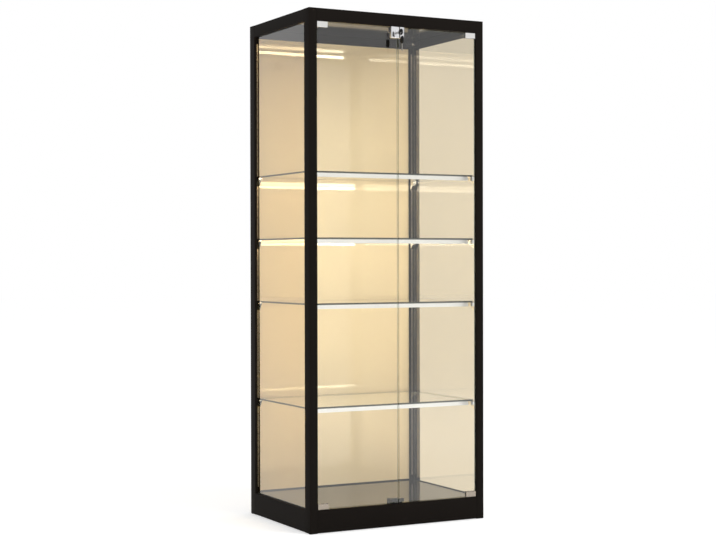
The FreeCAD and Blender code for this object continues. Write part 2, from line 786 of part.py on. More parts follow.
def make_hinges(side):
    """Make the two hinge clamps of a door, with pins, and list their pads and screws."""
    word = SIDE_NAMES[side]
    cheek = size.clamp_cheek
    section = clamp_section(cheek, cheek, size.clamp_height, 0, size.clamp_break)
    cheek_front = door_front - size.pad_thick - cheek
    cheek_rear = door_rear + size.pad_thick + cheek
    seat = size.bush_flange + size.seat_gap
    along = outward(side, door_outer - size.clamp_length, door_outer)
    clamps = []
    pins = []
    pads = []
    screws = []
    for level in (LOW, HIGH):
        name = f"{word}_{'top' if level == HIGH else 'low'}_clamp"
        top = rail_bottom - seat
        bottom = top - size.clamp_height if level == HIGH else size.plinth_height + seat
        outline = section if level == HIGH else mirror_v(section, size.clamp_height)
        bar = extrusion(name + "_bar", "YZ", [outline], size.clamp_length, (along[0], cheek_front, bottom))
        pivot = (door_outer - size.pivot_inset) * side
        if level == HIGH:
            web = (top - size.clamp_web, top)
            pin_z = (web[0], rail_bottom + size.pin_reach)
            pad_z = (bottom, door_top)
        else:
            web = (bottom, bottom + size.clamp_web)
            pin_z = (size.plinth_height - size.pin_reach, web[1])
            pad_z = (door_bottom, bottom + size.clamp_height)
        holes = [rod(name + "_pin_hole", "z", size.pin_radius + size.pin_play, web, (pivot, door_middle))]
        pins.append(rod(name + "_pin", "z", size.pin_radius, pin_z, (pivot, door_middle)))
        pad_middle = (pad_z[0] + pad_z[1]) / 2
        rear_cheek = (cheek_rear - cheek, cheek_rear)
        for index, share in enumerate((1, 3)):
            x = along[0] + size.clamp_length * share / 4
            hole_radius = size.set_screw_radius + size.set_screw_play
            centre = (x, pad_middle)
            holes.append(rod(f"{name}_hole_{index}", "y", hole_radius, rear_cheek, centre))
            screws.append(rod(f"{name}_screw_{index}", "y", size.set_screw_radius, rear_cheek, centre))
        clamps.append(cut(name, bar, *holes))
        pads.append(block(name + "_front_pad", along, (door_front - size.pad_thick, door_front), pad_z))
        pads.append(block(name + "_rear_pad", along, (door_rear, door_rear + size.pad_thick), pad_z))
    group(f"{word}_hinge_clamps", clamps)
    group(f"{word}_hinge_pins", pins)
    return pads, screws


def make_bushes():
    """Make the four pivot bushes in the top rail and the plinth."""
    bushes = []
    for side, level, x in pivot_places():
        name = f"{SIDE_NAMES[side]}_{'top' if level == HIGH else 'low'}_bush"
        if level == HIGH:
            flange_z = (rail_bottom - size.bush_flange, rail_bottom)
            sleeve_z = (rail_bottom, rail_bottom + size.bush_length)
            bore_z = (flange_z[0], sleeve_z[1])
        else:
            flange_z = (size.plinth_height, size.plinth_height + size.bush_flange)
            sleeve_z = (size.plinth_height - size.bush_length, size.plinth_height)
            bore_z = (sleeve_z[0], flange_z[1])
        centre = (x, door_middle)
        flange = rod(name + "_flange", "z", size.bush_flange_radius, flange_z, centre)
        sleeve = rod(name + "_sleeve", "z", size.bush_radius, sleeve_z, centre)
        bore = rod(name + "_bore", "z", size.pin_radius + size.running_play, bore_z, centre)
        bushes.append(cut(name, join(name + "_body", flange, sleeve), bore))
    group("pivot_bushes", bushes)


# Where the lock is: its case hangs over the top edge of the left door, the keeper over the right
channel_thick = size.bolt_thick + size.bolt_play * 2
lock_front = size.lock_front_wall + channel_thick + size.lock_back_wall
case_front = door_front - size.pad_thick - lock_front
case_rear = door_rear + size.pad_thick + size.jaw_thick
case_top = rail_bottom - size.lock_gap
case_bottom = case_top - size.lock_height
plug_x = -door_inner - size.plug_side
plug_z = case_bottom + size.plug_rise
channel_y = (case_front + size.lock_front_wall, case_front + size.lock_front_wall + channel_thick)
channel_z = (plug_z - size.bolt_below - size.bolt_play, plug_z + size.bolt_above + size.bolt_play)
bolt_nose = -door_inner - size.bolt_back
bolt_tail = bolt_nose - size.bolt_length
bolt_travel = size.drive_offset * 2


def make_lock_case(name, side, width, hollows):
    """Make the lock or keeper case on a door, and list its pads and screws."""
    jaw_rise = size.lock_height - size.jaw_height
    section = clamp_section(lock_front, size.jaw_thick, size.lock_height, jaw_rise, size.lock_break)
    along = outward(side, door_inner, door_inner + width)
    bar = extrusion(name + "_bar", "YZ", [section], width, (along[0], case_front, case_bottom))
    jaw_bottom = case_top - size.jaw_height
    jaw_y = (case_rear - size.jaw_thick, case_rear)
    centre = ((along[0] + along[1]) / 2, (jaw_bottom + door_top) / 2)
    hole_radius = size.set_screw_radius + size.set_screw_play
    hole = rod(name + "_hole", "y", hole_radius, jaw_y, centre)
    screw = rod(name + "_screw", "y", size.set_screw_radius, jaw_y, centre)
    node(cut(name, bar, hole, *hollows), name)
    front_pad = block(
        name + "_front_pad", along, (door_front - size.pad_thick, door_front), (case_bottom, door_top)
    )
    rear_pad = block(
        name + "_rear_pad", along, (door_rear, door_rear + size.pad_thick), (jaw_bottom, door_top)
    )
    return [front_pad, rear_pad], [screw]


def make_lock():
    """Make the lock: its plug, which turns, and its bolt, which slides into the keeper."""
    centre = (plug_x, plug_z)
    plug_y = (case_front - size.plug_proud, channel_y[0] - size.bolt_play)
    barrel = rod("plug_barrel", "y", size.plug_radius, plug_y, centre)
    pin_y = (plug_y[1], channel_y[1] - size.bolt_play * 2)
    pin_centre = (plug_x - size.drive_offset, plug_z + size.drive_offset)
    pin = rod("plug_drive_pin", "y", size.drive_radius, pin_y, pin_centre)
    slot_x = size.key_thick / 2 + size.keyway_play
    slot_z = size.key_width / 2 + size.keyway_play
    keyway = block(
        "plug_keyway", (plug_x - slot_x, plug_x + slot_x),
        (plug_y[0], plug_y[0] + size.key_insert + size.keyway_play), (plug_z - slot_z, plug_z + slot_z),
    )
    node(cut("lock_plug", join("plug_body", barrel, pin), keyway), "lock_plug")
    bolt_y = (channel_y[0] + size.bolt_play, channel_y[1] - size.bolt_play)
    bolt_z = (plug_z - size.bolt_below, plug_z + size.bolt_above)
    bar = block("bolt_bar", (bolt_tail, bolt_nose), bolt_y, bolt_z)
    room = size.drive_radius + size.drive_play
    # The pin rises to 1.42 times its offset in the middle of its turn
    slot = block(
        "bolt_slot", (pin_centre[0] - room, pin_centre[0] + room), bolt_y,
        (pin_centre[1] - room, plug_z + size.drive_offset * 1.5 + room),
    )
    node(cut("lock_bolt", bar, slot), "lock_bolt")
    bore_radius = size.plug_radius + size.running_play
    bore = rod("lock_bore", "y", bore_radius, (case_front, channel_y[0]), centre)
    channel_x = (bolt_tail - size.bolt_play, -door_inner)
    channel = block("lock_channel", channel_x, channel_y, channel_z)
    pocket_x = (door_inner, bolt_nose + bolt_travel + size.keeper_room)
    pocket_y = (channel_y[0] - size.keeper_play, channel_y[1])
    pocket_z = (channel_z[0] - size.keeper_play, channel_z[1] + size.keeper_play)
    pocket = block("keeper_pocket", pocket_x, pocket_y, pocket_z)
    lock = make_lock_case("lock_case", LEFT, size.lock_width, [bore, channel])
    keeper = make_lock_case("keeper_case", RIGHT, size.keeper_width, [pocket])
    return {LEFT: lock, RIGHT: keeper}


def bow_section():
    """Give the outline of a key's bow, with its ring hole left out."""
    corner = size.bow_corner
    return [
        (corner, 0),
        (size.bow_length - corner, 0),
        (size.bow_length, corner),
        (size.bow_length, size.bow_width - corner),
        (size.bow_length - corner, size.bow_width),
        (corner, size.bow_width),
        (0, size.bow_width - corner),
        (0, corner),
    ]


def make_keys():
    """Make the key in the lock, and the spare key that hangs from it on a ring."""
    plug_face = case_front - size.plug_proud
    blade_x = (plug_x - size.key_thick / 2, plug_x + size.key_thick / 2)
    blade_z = (plug_z - size.key_width / 2, plug_z + size.key_width / 2)
    bow_rear = plug_face - size.key_shank
    node(block("key_blade", blade_x, (bow_rear, plug_face + size.key_insert), blade_z), "key_blade")
    bow_x = plug_x - size.bow_thick / 2
    bow_ends = (bow_x, bow_x + size.bow_thick)
    bow_front = bow_rear - size.bow_length
    plate = extrusion(
        "key_bow_plate", "YZ", [bow_section()], size.bow_thick,
        (bow_x, bow_front, plug_z - size.bow_width / 2),
    )
    hole_y = bow_front + size.bow_hole_edge
    hole = rod("key_bow_hole", "x", size.bow_hole_radius, bow_ends, (hole_y, plug_z))
    node(cut("key_bow", plate, hole), "key_bow")
    # The ring's wire lies just above the lower edge of the hole
    wire_z = plug_z - size.bow_hole_radius + size.ring_wire + size.ring_play
    ring_z = wire_z - size.ring_radius
    ring = doc.addObject("Part::Torus", "key_ring")
    ring.setExpression("Radius1", size.ring_radius.text)
    ring.setExpression("Radius2", size.ring_wire.text)
    place(ring, plug_x, hole_y, ring_z, turn="y")
    node(ring, "key_ring")
    # The spare key hangs with the upper edge of its hole just above the ring's lower wire
    low_wire = ring_z - size.ring_radius
    spare_hole = low_wire + size.ring_wire + size.ring_play - size.bow_hole_radius
    spare_top = spare_hole + size.bow_hole_edge
    spare_bottom = spare_top - size.bow_length
    outline = [(v, u) for u, v in bow_section()]
    spare_plate = extrusion(
        "spare_bow_plate", "YZ", [outline], size.bow_thick,
        (bow_x, hole_y - size.bow_width / 2, spare_bottom),
    )
    spare_cut = rod("spare_bow_hole", "x", size.bow_hole_radius, bow_ends, (hole_y, spare_hole))
    node(cut("spare_key_bow", spare_plate, spare_cut), "spare_key_bow")
    spare_y = (hole_y - size.key_width / 2, hole_y + size.key_width / 2)
    spare_z = (spare_bottom - size.spare_blade, spare_bottom)
    node(block("spare_key_blade", blade_x, spare_y, spare_z), "spare_key_blade")


def make_latch():
    """Make the touch latch on the floor panel, and the strike plates on the doors."""
    front = -frame_face + size.fit + size.latch_inset
    middle = size.plinth_height + size.latch_height / 2
    tip = door_rear + size.strike_thick + size.strike_gap
    tail = tip + size.plunger_length
    housing = block(
        "latch_block", (-size.latch_width / 2, size.latch_width / 2), (front, front + size.latch_length),
        (size.plinth_height, size.plinth_height + size.latch_height),
    )
    bores = []
    for side in (LEFT, RIGHT):
        word = SIDE_NAMES[side]
        centre = (size.plunger_side * side, middle)
        bore_y = (front, tail + size.plunger_travel + size.plunger_room)
        bore_radius = size.plunger_radius + size.running_play
        bores.append(rod(f"{word}_latch_bore", "y", bore_radius, bore_y, centre))
        name = f"{word}_latch_plunger"
        node(rod(name, "y", size.plunger_radius, (tip, tail), centre), name)
        edge = door_inner + size.strike_side
        bottom = door_bottom + size.strike_rise
        name = f"{word}_strike_plate"
        plate_y = (door_rear, door_rear + size.strike_thick)
        plate_z = (bottom, bottom + size.strike_height)
        node(block(name, outward(side, edge, edge + size.strike_width), plate_y, plate_z), name)
    node(cut("latch_housing", housing, *bores), "latch_housing")


def make_doors():
    """Make the two glass doors with all that rides on them."""
    cases = make_lock()
    for side in (LEFT, RIGHT):
        word = SIDE_NAMES[side]
        across = outward(side, door_inner, door_outer)
        name = f"{word}_door_glass"
        node(block(name, across, (door_front, door_rear), (door_bottom, door_top)), name)
        pads, screws = make_hinges(side)
        case_pads, case_screws = cases[side]
        group(f"{word}_door_pads", pads + case_pads)
        group(f"{word}_door_screws", screws + case_screws)


def write_parts():
    """Check every object and piece, then write one file for each piece."""
    doc.recompute()
    failed = [item.Name for item in doc.Objects if {"Invalid", "Error"} & set(item.State)]
    if failed:
        raise RuntimeError(f"objects that failed: {failed}")
    broken = [item.Label for item in nodes if item.Shape.isNull() or not item.Shape.isValid()]
    if broken:
        raise RuntimeError(f"pieces without a valid shape: {broken}")
    os.makedirs("parts", exist_ok=True)
    for item in nodes:
        item.Shape.exportStep(f"parts/{item.Label}.step")
    print(len(nodes), "pieces written")


make_posts()
make_rails()
make_panels()
make_shelves()
make_lights()
frame_screws = make_brackets() + make_power()
group("frame_screws", frame_screws)
make_bushes()
make_doors()
make_keys()
make_latch()
write_parts()
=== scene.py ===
"""Dress the glass display cabinet: eased metal edges, polished panes, lit channels and a plain studio."""

from __future__ import annotations

import json
import logging
import math
from dataclasses import dataclass, field
from enum import Enum
from typing import Callable, Iterable, Optional, Union

import bmesh
import bpy
from mathutils import Matrix, Vector

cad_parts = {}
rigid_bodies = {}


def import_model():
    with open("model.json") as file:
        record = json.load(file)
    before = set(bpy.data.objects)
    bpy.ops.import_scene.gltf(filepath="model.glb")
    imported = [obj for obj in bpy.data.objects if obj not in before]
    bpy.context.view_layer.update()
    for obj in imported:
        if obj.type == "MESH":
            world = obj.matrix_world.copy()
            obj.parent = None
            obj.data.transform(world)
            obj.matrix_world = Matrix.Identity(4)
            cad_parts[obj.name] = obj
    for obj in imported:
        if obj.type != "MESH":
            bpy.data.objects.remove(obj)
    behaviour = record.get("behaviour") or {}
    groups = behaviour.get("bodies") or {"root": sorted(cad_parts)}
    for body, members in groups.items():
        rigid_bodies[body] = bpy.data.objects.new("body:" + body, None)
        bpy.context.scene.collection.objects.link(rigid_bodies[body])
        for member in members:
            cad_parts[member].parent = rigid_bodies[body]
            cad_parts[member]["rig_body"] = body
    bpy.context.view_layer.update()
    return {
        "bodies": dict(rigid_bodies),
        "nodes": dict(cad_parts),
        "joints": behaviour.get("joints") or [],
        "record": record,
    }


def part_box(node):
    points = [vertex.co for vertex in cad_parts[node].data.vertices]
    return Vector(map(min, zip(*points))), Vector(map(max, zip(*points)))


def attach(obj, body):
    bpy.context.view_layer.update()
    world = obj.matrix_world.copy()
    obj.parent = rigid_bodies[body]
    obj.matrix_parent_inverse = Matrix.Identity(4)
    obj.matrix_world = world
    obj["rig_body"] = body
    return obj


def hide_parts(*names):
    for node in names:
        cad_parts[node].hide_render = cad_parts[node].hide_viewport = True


LOG = logging.getLogger("cabinet")

Colour = tuple[float, float, float]
Place = tuple[float, float, float]
Values = Optional[dict]
Number = Union[float, "Expr"]
Socket = bpy.types.NodeSocket
Piece = bpy.types.Object

WHITE: Colour = (1.0, 1.0, 1.0)

# A Mix node has one set of inputs per type of value: these are the places of its colours.
MIX_FIRST = 6
MIX_SECOND = 7
MIX_RESULT = 2

# The attribute that says which way a repeated shape faces.
FACING = "facing"


class Axis(Enum):
    """A direction of the cabinet: across it, from front to back, or up."""

    ACROSS = 0
    DEPTH = 1
    UP = 2


class Edging(Enum):
    """How a sharp edge is broken, by the number of faces across it."""

    GROUND = 1
    EASED = 2
    ROUNDED = 3


class Expr:
    """A number on a surface, which arithmetic turns into Math nodes."""

    def __init__(self, shader: Shader, socket: Socket) -> None:
        """Wrap a socket of a shader's tree."""
        self.shader = shader
        self.socket = socket

    def _math(self, operation: str, first: Number, second: Number) -> Expr:
        """Add one Math node."""
        return self.shader.value("ShaderNodeMath", "Value", {"operation": operation}, {0: first, 1: second})

    def __add__(self, other: Number) -> Expr:
        """Add a number."""
        return self._math("ADD", self, other)

    def __radd__(self, other: Number) -> Expr:
        """Add to a number."""
        return self._math("ADD", other, self)

    def __sub__(self, other: Number) -> Expr:
        """Subtract a number."""
        return self._math("SUBTRACT", self, other)

    def __rsub__(self, other: Number) -> Expr:
        """Subtract from a number."""
        return self._math("SUBTRACT", other, self)

    def __mul__(self, other: Number) -> Expr:
        """Multiply by a number."""
        return self._math("MULTIPLY", self, other)

    def __rmul__(self, other: Number) -> Expr:
        """Multiply a number."""
        return self._math("MULTIPLY", other, self)

    def __truediv__(self, other: Number) -> Expr:
        """Divide by a number."""
        return self._math("DIVIDE", self, other)


class Board:
    """A node tree, and the one way to put a node on it."""

    def __init__(self, tree: bpy.types.NodeTree) -> None:
        """Take a tree to work on."""
        self.tree = tree

    def node(self, kind: str, settings: Values = None, sockets: Values = None) -> bpy.types.Node:
        """Add a node.

        Args:
            kind: The node's type.
            settings: Its settings, set before its sockets.
            sockets: Values or links of its input sockets, by name or place.

        Returns:
            The new node.
        """
        made = self.tree.nodes.new(kind)
        for name, setting in (settings or {}).items():
            setattr(made, name, setting)
        for name, given in (sockets or {}).items():
            source = given.socket if isinstance(given, Expr) else given
            if isinstance(source, Socket):
                self.tree.links.new(source, made.inputs[name])
            elif isinstance(source, tuple) and made.inputs[name].type == "RGBA":
                made.inputs[name].default_value = (*source, 1.0)
            else:
                made.inputs[name].default_value = source
        return made


class Shader(Board):
    """The nodes of a material or of the world."""

    def __init__(self, owner: Union[bpy.types.Material, bpy.types.World]) -> None:
        """Start with an empty tree.

        Args:
            owner: The material or the world whose tree it is.
        """
        owner.use_nodes = True
        owner.node_tree.nodes.clear()
        super().__init__(owner.node_tree)

    def value(self, kind: str, output: str, settings: Values = None, sockets: Values = None) -> Expr:
        """Add a node and take one of its outputs as a number."""
        return Expr(self, self.node(kind, settings, sockets).outputs[output])

    def place(self, stretch: Place = (1.0, 1.0, 1.0)) -> Socket:
        """Give the surface's own coordinates in metres, stretched along the axes."""
        here = self.node("ShaderNodeTexCoord").outputs["Object"]
        return self.node("ShaderNodeMapping", None, {"Vector": here, "Scale": stretch}).outputs["Vector"]

    def noise(self, scale: float, detail: float = 2.0, stretch: Place = (1.0, 1.0, 1.0)) -> Expr:
        """Add noise, about 0.5 on average, with so many cells in a metre."""
        sockets = {"Vector": self.place(stretch), "Scale": scale, "Detail": detail}
        return self.value("ShaderNodeTexNoise", "Fac", {"noise_dimensions": "3D"}, sockets)

    def around(self, middle: float, share: Expr, span: float) -> Expr:
        """Let a value swing about its middle, as a share goes from 0 to 1."""
        return middle - span / 2.0 + share * span

    def blend(self, share: Number, first: Colour, second: Colour) -> Socket:
        """Mix two colours by the share of the second, which may change over the surface."""
        colours = {"Factor": share, MIX_FIRST: first, MIX_SECOND: second}
        return self.node("ShaderNodeMix", {"data_type": "RGBA"}, colours).outputs[MIX_RESULT]

    def bump(self, height: Number, depth: float, strength: float) -> Socket:
        """Turn heights from 0 to 1 into a normal; a height of 1 means the depth in metres."""
        sockets = {"Height": height, "Distance": depth, "Strength": strength}
        return self.node("ShaderNodeBump", None, sockets).outputs["Normal"]

    def principled(self, **sockets: object) -> Socket:
        """Add a Principled shader; underscores in a socket's name stand for spaces."""
        named = {name.replace("_", " "): given for name, given in sockets.items()}
        return self.node("ShaderNodeBsdfPrincipled", None, named).outputs["BSDF"]

    def clear(self, tint: Colour = WHITE) -> Socket:
        """Add a shader that lets light straight through."""
        return self.node("ShaderNodeBsdfTransparent", None, {"Color": tint}).outputs["BSDF"]

    def mix(self, share: Number, first: Socket, second: Socket) -> Socket:
        """Mix two shaders by the share of the second."""
        return self.node("ShaderNodeMixShader", None, {0: share, 1: first, 2: second}).outputs["Shader"]


def lighter(colour: Colour, factor: float, lift: float = 0.0) -> Colour:
    """Make a colour paler by a factor and a lift, up to white."""
    return tuple(min(1.0, part * factor + lift) for part in colour)


class Finish:
    """The look of one material slot."""

    def wire(self, shader: Shader) -> Socket:
        """Add the look's nodes and give its shader."""
        raise NotImplementedError

    def make(self, name: str) -> bpy.types.Material:
        """Make the material under a name.

        Args:
            name: The material's name.

        Returns:
            The material.
        """
        material = bpy.data.materials.new(name)
        shader = Shader(material)
        shader.node("ShaderNodeOutputMaterial", None, {"Surface": self.wire(shader)})
        return material


@dataclass(frozen=True)
class PowderCoat(Finish):
    """Satin powder coat: a fine orange peel and a slow change of sheen."""

    colour: Colour
    paler: Colour
    roughness: float = 0.36
    shine: float = 0.01
    sheen_change: float = 0.12
    cloud_scale: float = 5.0
    peel_scale: float = 900.0
    peel_depth: float = 0.0002
    peel_strength: float = 0.12

    def wire(self, shader: Shader) -> Socket:
        """Add the coat's nodes.

        Args:
            shader: The shader of the material.

        Returns:
            The coat.
        """
        cloud = shader.noise(self.cloud_scale, detail=3.0)
        peel = shader.noise(self.peel_scale)
        return shader.principled(
            Base_Color=shader.blend(cloud, self.colour, self.paler),
            Roughness=shader.around(self.roughness, cloud, self.sheen_change),
            Normal=shader.bump(peel, self.peel_depth, self.peel_strength),
            Specular_IOR_Level=self.shine,
        )


@dataclass(frozen=True)
class Laminate(Finish):
    """High-gloss board: deep shine with the slight waviness of a pressed sheet."""

    colour: Colour
    deeper: Colour
    roughness: float = 0.05
    shine: float = 0.5
    sheen_change: float = 0.6
    cloud_scale: float = 3.0
    wave_scale: float = 18.0
    wave_depth: float = 0.001
    wave_strength: float = 0.03

    def wire(self, shader: Shader) -> Socket:
        """Add the board's nodes.

        Args:
            shader: The shader of the material.

        Returns:
            The board's surface.
        """
        cloud = shader.noise(self.cloud_scale)
        wave = shader.noise(self.wave_scale, detail=1.0)
        return shader.principled(
            Base_Color=shader.blend(cloud, self.colour, self.deeper),
            Roughness=shader.around(1.0, cloud, self.sheen_change) * self.roughness,
            Normal=shader.bump(wave, self.wave_depth, self.wave_strength),
            Specular_IOR_Level=self.shine,
        )


@dataclass(frozen=True)
class Pane(Finish):
    """Clear flat glass: it mirrors by the angle it is seen at, and lets the rest straight through."""

    tint: Colour
    index: float = 1.5
    smear_scale: float = 9.0
    smear_roughness: float = 0.03

    def wire(self, shader: Shader) -> Socket:
        """Add the pane's nodes: both its faces mirror, and both are reckoned at the face that light meets.

        Args:
            shader: The shader of the material.

        Returns:
            The pane's surface.
        """
        mirror = shader.value("ShaderNodeFresnel", "Fac", None, {"IOR": self.index})
        behind = shader.value("ShaderNodeNewGeometry", "Backfacing")
        share = 2.0 * mirror / (1.0 + mirror) * (1.0 - behind)
        smear = shader.noise(self.smear_scale, detail=4.0)
        shine = shader.principled(Base_Color=WHITE, Metallic=1.0, Roughness=smear * self.smear_roughness)
        return shader.mix(share, shader.clear(self.tint), shine)


@dataclass(frozen=True)
class PolishedEdge(Finish):
    """The ground and polished edge of a pane, where light comes out of the glass."""

    colour: Colour
    deeper: Colour
    body: float
    roughness: float = 0.12
    roughness_change: float = 0.08
    cloud_scale: float = 14.0
    grind_scale: float = 28.0
    grind_depth: float = 0.0002
    grind_strength: float = 0.1

    def wire(self, shader: Shader) -> Socket:
        """Add the edge's nodes.

        Args:
            shader: The shader of the material.

        Returns:
            The edge's surface.
        """
        cloud = shader.noise(self.cloud_scale)
        grind = shader.noise(self.grind_scale, detail=1.0)
        ground = shader.principled(
            Base_Color=shader.blend(cloud, self.colour, self.deeper),
            Roughness=self.roughness + grind * self.roughness_change,
            Normal=shader.bump(grind, self.grind_depth, self.grind_strength),
        )
        return shader.mix(self.body, shader.clear(), ground)


@dataclass(frozen=True)
class Plating(Finish):
    """Bright plating, smooth and a little cloudy."""

    colour: Colour
    roughness: float = 0.07
    roughness_change: float = 0.06
    paleness: float = 1.06
    cloud_scale: float = 160.0
    cloud_depth: float = 0.0001
    cloud_strength: float = 0.04

    def wire(self, shader: Shader) -> Socket:
        """Add the plating's nodes.

        Args:
            shader: The shader of the material.

        Returns:
            The plating.
        """
        cloud = shader.noise(self.cloud_scale, detail=3.0)
        return shader.principled(
            Base_Color=shader.blend(cloud, self.colour, lighter(self.colour, self.paleness)),
            Metallic=1.0,
            Roughness=self.roughness + cloud * self.roughness_change,
            Normal=shader.bump(cloud, self.cloud_depth, self.cloud_strength),
        )


@dataclass(frozen=True)
class Brushed(Finish):
    """Metal with a drawn or brushed grain along one axis."""

    colour: Colour
    along: Axis
    roughness: float = 0.3
    roughness_change: float = 0.1
    paleness: float = 1.1
    grain_scale: float = 1500.0
    grain_stretch: float = 0.02
    grain_depth: float = 0.0001
    grain_strength: float = 0.12

    def wire(self, shader: Shader) -> Socket:
        """Add the metal's nodes.

        Args:
            shader: The shader of the material.

        Returns:
            The metal.
        """
        stretch = tuple(self.grain_stretch if axis is self.along else 1.0 for axis in Axis)
        grain = shader.noise(self.grain_scale, stretch=stretch)
        return shader.principled(
            Base_Color=shader.blend(grain, self.colour, lighter(self.colour, self.paleness)),
            Metallic=1.0,
            Roughness=shader.around(self.roughness, grain, self.roughness_change),
            Normal=shader.bump(grain, self.grain_depth, self.grain_strength),
        )


@dataclass(frozen=True)
class Moulded(Finish):
    """Moulded plastic or rubber with a fine spark-eroded grain."""

    colour: Colour
    roughness: float = 0.5
    shine: float = 0.5
    roughness_change: float = 0.12
    paleness: float = 1.25
    lift: float = 0.004
    cloud_scale: float = 30.0
    grain_scale: float = 1800.0
    grain_depth: float = 0.0002
    grain_strength: float = 0.25

    def wire(self, shader: Shader) -> Socket:
        """Add the plastic's nodes.

        Args:
            shader: The shader of the material.

        Returns:
            The plastic.
        """
        grain = shader.noise(self.grain_scale, detail=3.0)
        cloud = shader.noise(self.cloud_scale)
        return shader.principled(
            Base_Color=shader.blend(cloud, self.colour, lighter(self.colour, self.paleness, self.lift)),
            Roughness=shader.around(self.roughness, grain, self.roughness_change),
            Normal=shader.bump(grain, self.grain_depth, self.grain_strength),
            Specular_IOR_Level=self.shine,
        )


@dataclass(frozen=True)
class LitOpal(Finish):
    """An opal cover lit from behind by a row of small lamps."""

    colour: Colour
    glow: Colour
    dimmer: Colour
    strength: float = 26.0
    pitch: float = 0.0083
    roughness: float = 0.45

    def wire(self, shader: Shader) -> Socket:
        """Add the cover's nodes.

        Args:
            shader: The shader of the material.

        Returns:
            The cover's surface.
        """
        across = shader.value("ShaderNodeSeparateXYZ", "X", None, {0: shader.place()})
        turn = across * (2.0 * math.pi / self.pitch)
        wave = shader.value("ShaderNodeMath", "Value", {"operation": "SINE"}, {0: turn})
        return shader.principled(
            Base_Color=self.colour,
            Roughness=self.roughness,
            Emission_Color=shader.blend(wave * 0.5 + 0.5, self.dimmer, self.glow),
            Emission_Strength=self.strength,
        )


FINISHES: dict[str, Finish] = {
    "frame_black": PowderCoat((0.0092, 0.0076, 0.0064), (0.0128, 0.0105, 0.009)),
    "bracket_black": PowderCoat((0.018, 0.018, 0.018), (0.03, 0.03, 0.03), roughness=0.42),
    "strike_black": PowderCoat((0.006, 0.006, 0.006), (0.009, 0.009, 0.009), roughness=0.3, shine=0.25),
    "panel_black": Laminate((0.012, 0.012, 0.013), (0.018, 0.018, 0.019), roughness=0.08),
    "back_cream": Laminate(
        (0.91, 0.765, 0.52), (0.89, 0.74, 0.495), roughness=0.015, shine=0.85, wave_strength=0.003,
    ),
    "clear_glass": Pane((0.965, 0.962, 0.95)),
    # The side panes' warm tint, much warmer than the doors', is partly glass tint and partly painted
    # reflection of the lit cream back panel.
    "side_glass": Pane((0.87, 0.81, 0.69), index=1.7),
    "side_glass_outside": Pane((0.89, 0.835, 0.725), index=1.38),
    "shelf_glass": Pane((0.955, 0.968, 0.955)),
    "clear_edge": PolishedEdge((0.2, 0.22, 0.16), (0.15, 0.17, 0.12), body=0.6),
    "shelf_edge": PolishedEdge((0.018, 0.023, 0.016), (0.035, 0.042, 0.03), body=0.95),
    "screw_steel": Plating((0.62, 0.62, 0.61), roughness=0.22),
    "clip_chrome": Plating((0.86, 0.86, 0.87)),
    "clamp_chrome": Plating((0.7, 0.69, 0.67)),
    # Painted shade: a darker, duller copy of the clamp chrome for the lower clamps, which mirror darker
    # surroundings.
    "clamp_chrome_painted_shade": Plating((0.34, 0.295, 0.245), roughness=0.24),
    "lock_chrome": Plating((0.7, 0.7, 0.715), roughness=0.1),
    "key_steel": Plating((0.36, 0.355, 0.345), roughness=0.26),
    "track_aluminium": Brushed((0.25, 0.225, 0.195), Axis.UP, roughness=0.32),
    "channel_aluminium": Brushed((0.92, 0.91, 0.885), Axis.ACROSS, roughness=0.42),
    "pin_steel": Brushed((0.7, 0.7, 0.7), Axis.ACROSS, roughness=0.28),
    "light_diffuser": LitOpal((0.95, 0.92, 0.84), (1.0, 0.875, 0.65), (0.9, 0.78, 0.57)),
    "light_board": Moulded((0.88, 0.86, 0.78)),
    "seal_rubber": Moulded((0.012, 0.012, 0.012), roughness=0.75, grain_scale=900.0, grain_strength=0.3),
    "cap_black": Moulded((0.014, 0.014, 0.014), roughness=0.42),
    "cap_grey": Moulded((0.5, 0.5, 0.51)),
    "driver_white": Moulded((0.78, 0.78, 0.76), roughness=0.45),
    "inlet_black": Moulded((0.018, 0.018, 0.018), roughness=0.4),
    "bush_nylon": Moulded((0.02, 0.02, 0.02)),
    "latch_black": Moulded((0.008, 0.008, 0.008), roughness=0.42, shine=0.2),
    "plunger_grey": Moulded((0.2, 0.2, 0.2), roughness=0.42),
    "key_black": Moulded((0.005, 0.005, 0.005), roughness=0.45, shine=0.15),
    # Painted shade: near-black matt sheets standing in for the shade inside the screws' sockets and the
    # tracks' slots.
    "recess_painted_shade": Moulded((0.004, 0.004, 0.004), roughness=0.9),
}


class Paintbox:
    """The finishes as materials, each made once."""

    def __init__(self) -> None:
        """Start with no material made."""
        self.made: dict[str, bpy.types.Material] = {}

    def get(self, slot: str) -> bpy.types.Material:
        """Give the material of a finish, and make it at its first use.

        Args:
            slot: The finish's name.

        Returns:
            The material.
        """
        if slot not in self.made:
            self.made[slot] = FINISHES[slot].make(slot)
        return self.made[slot]


def extent(corners: list[Vector]) -> tuple[Vector, Vector]:
    """Give the lowest and the highest corner of the box round some corners."""
    return Vector(map(min, zip(*corners))), Vector(map(max, zip(*corners)))


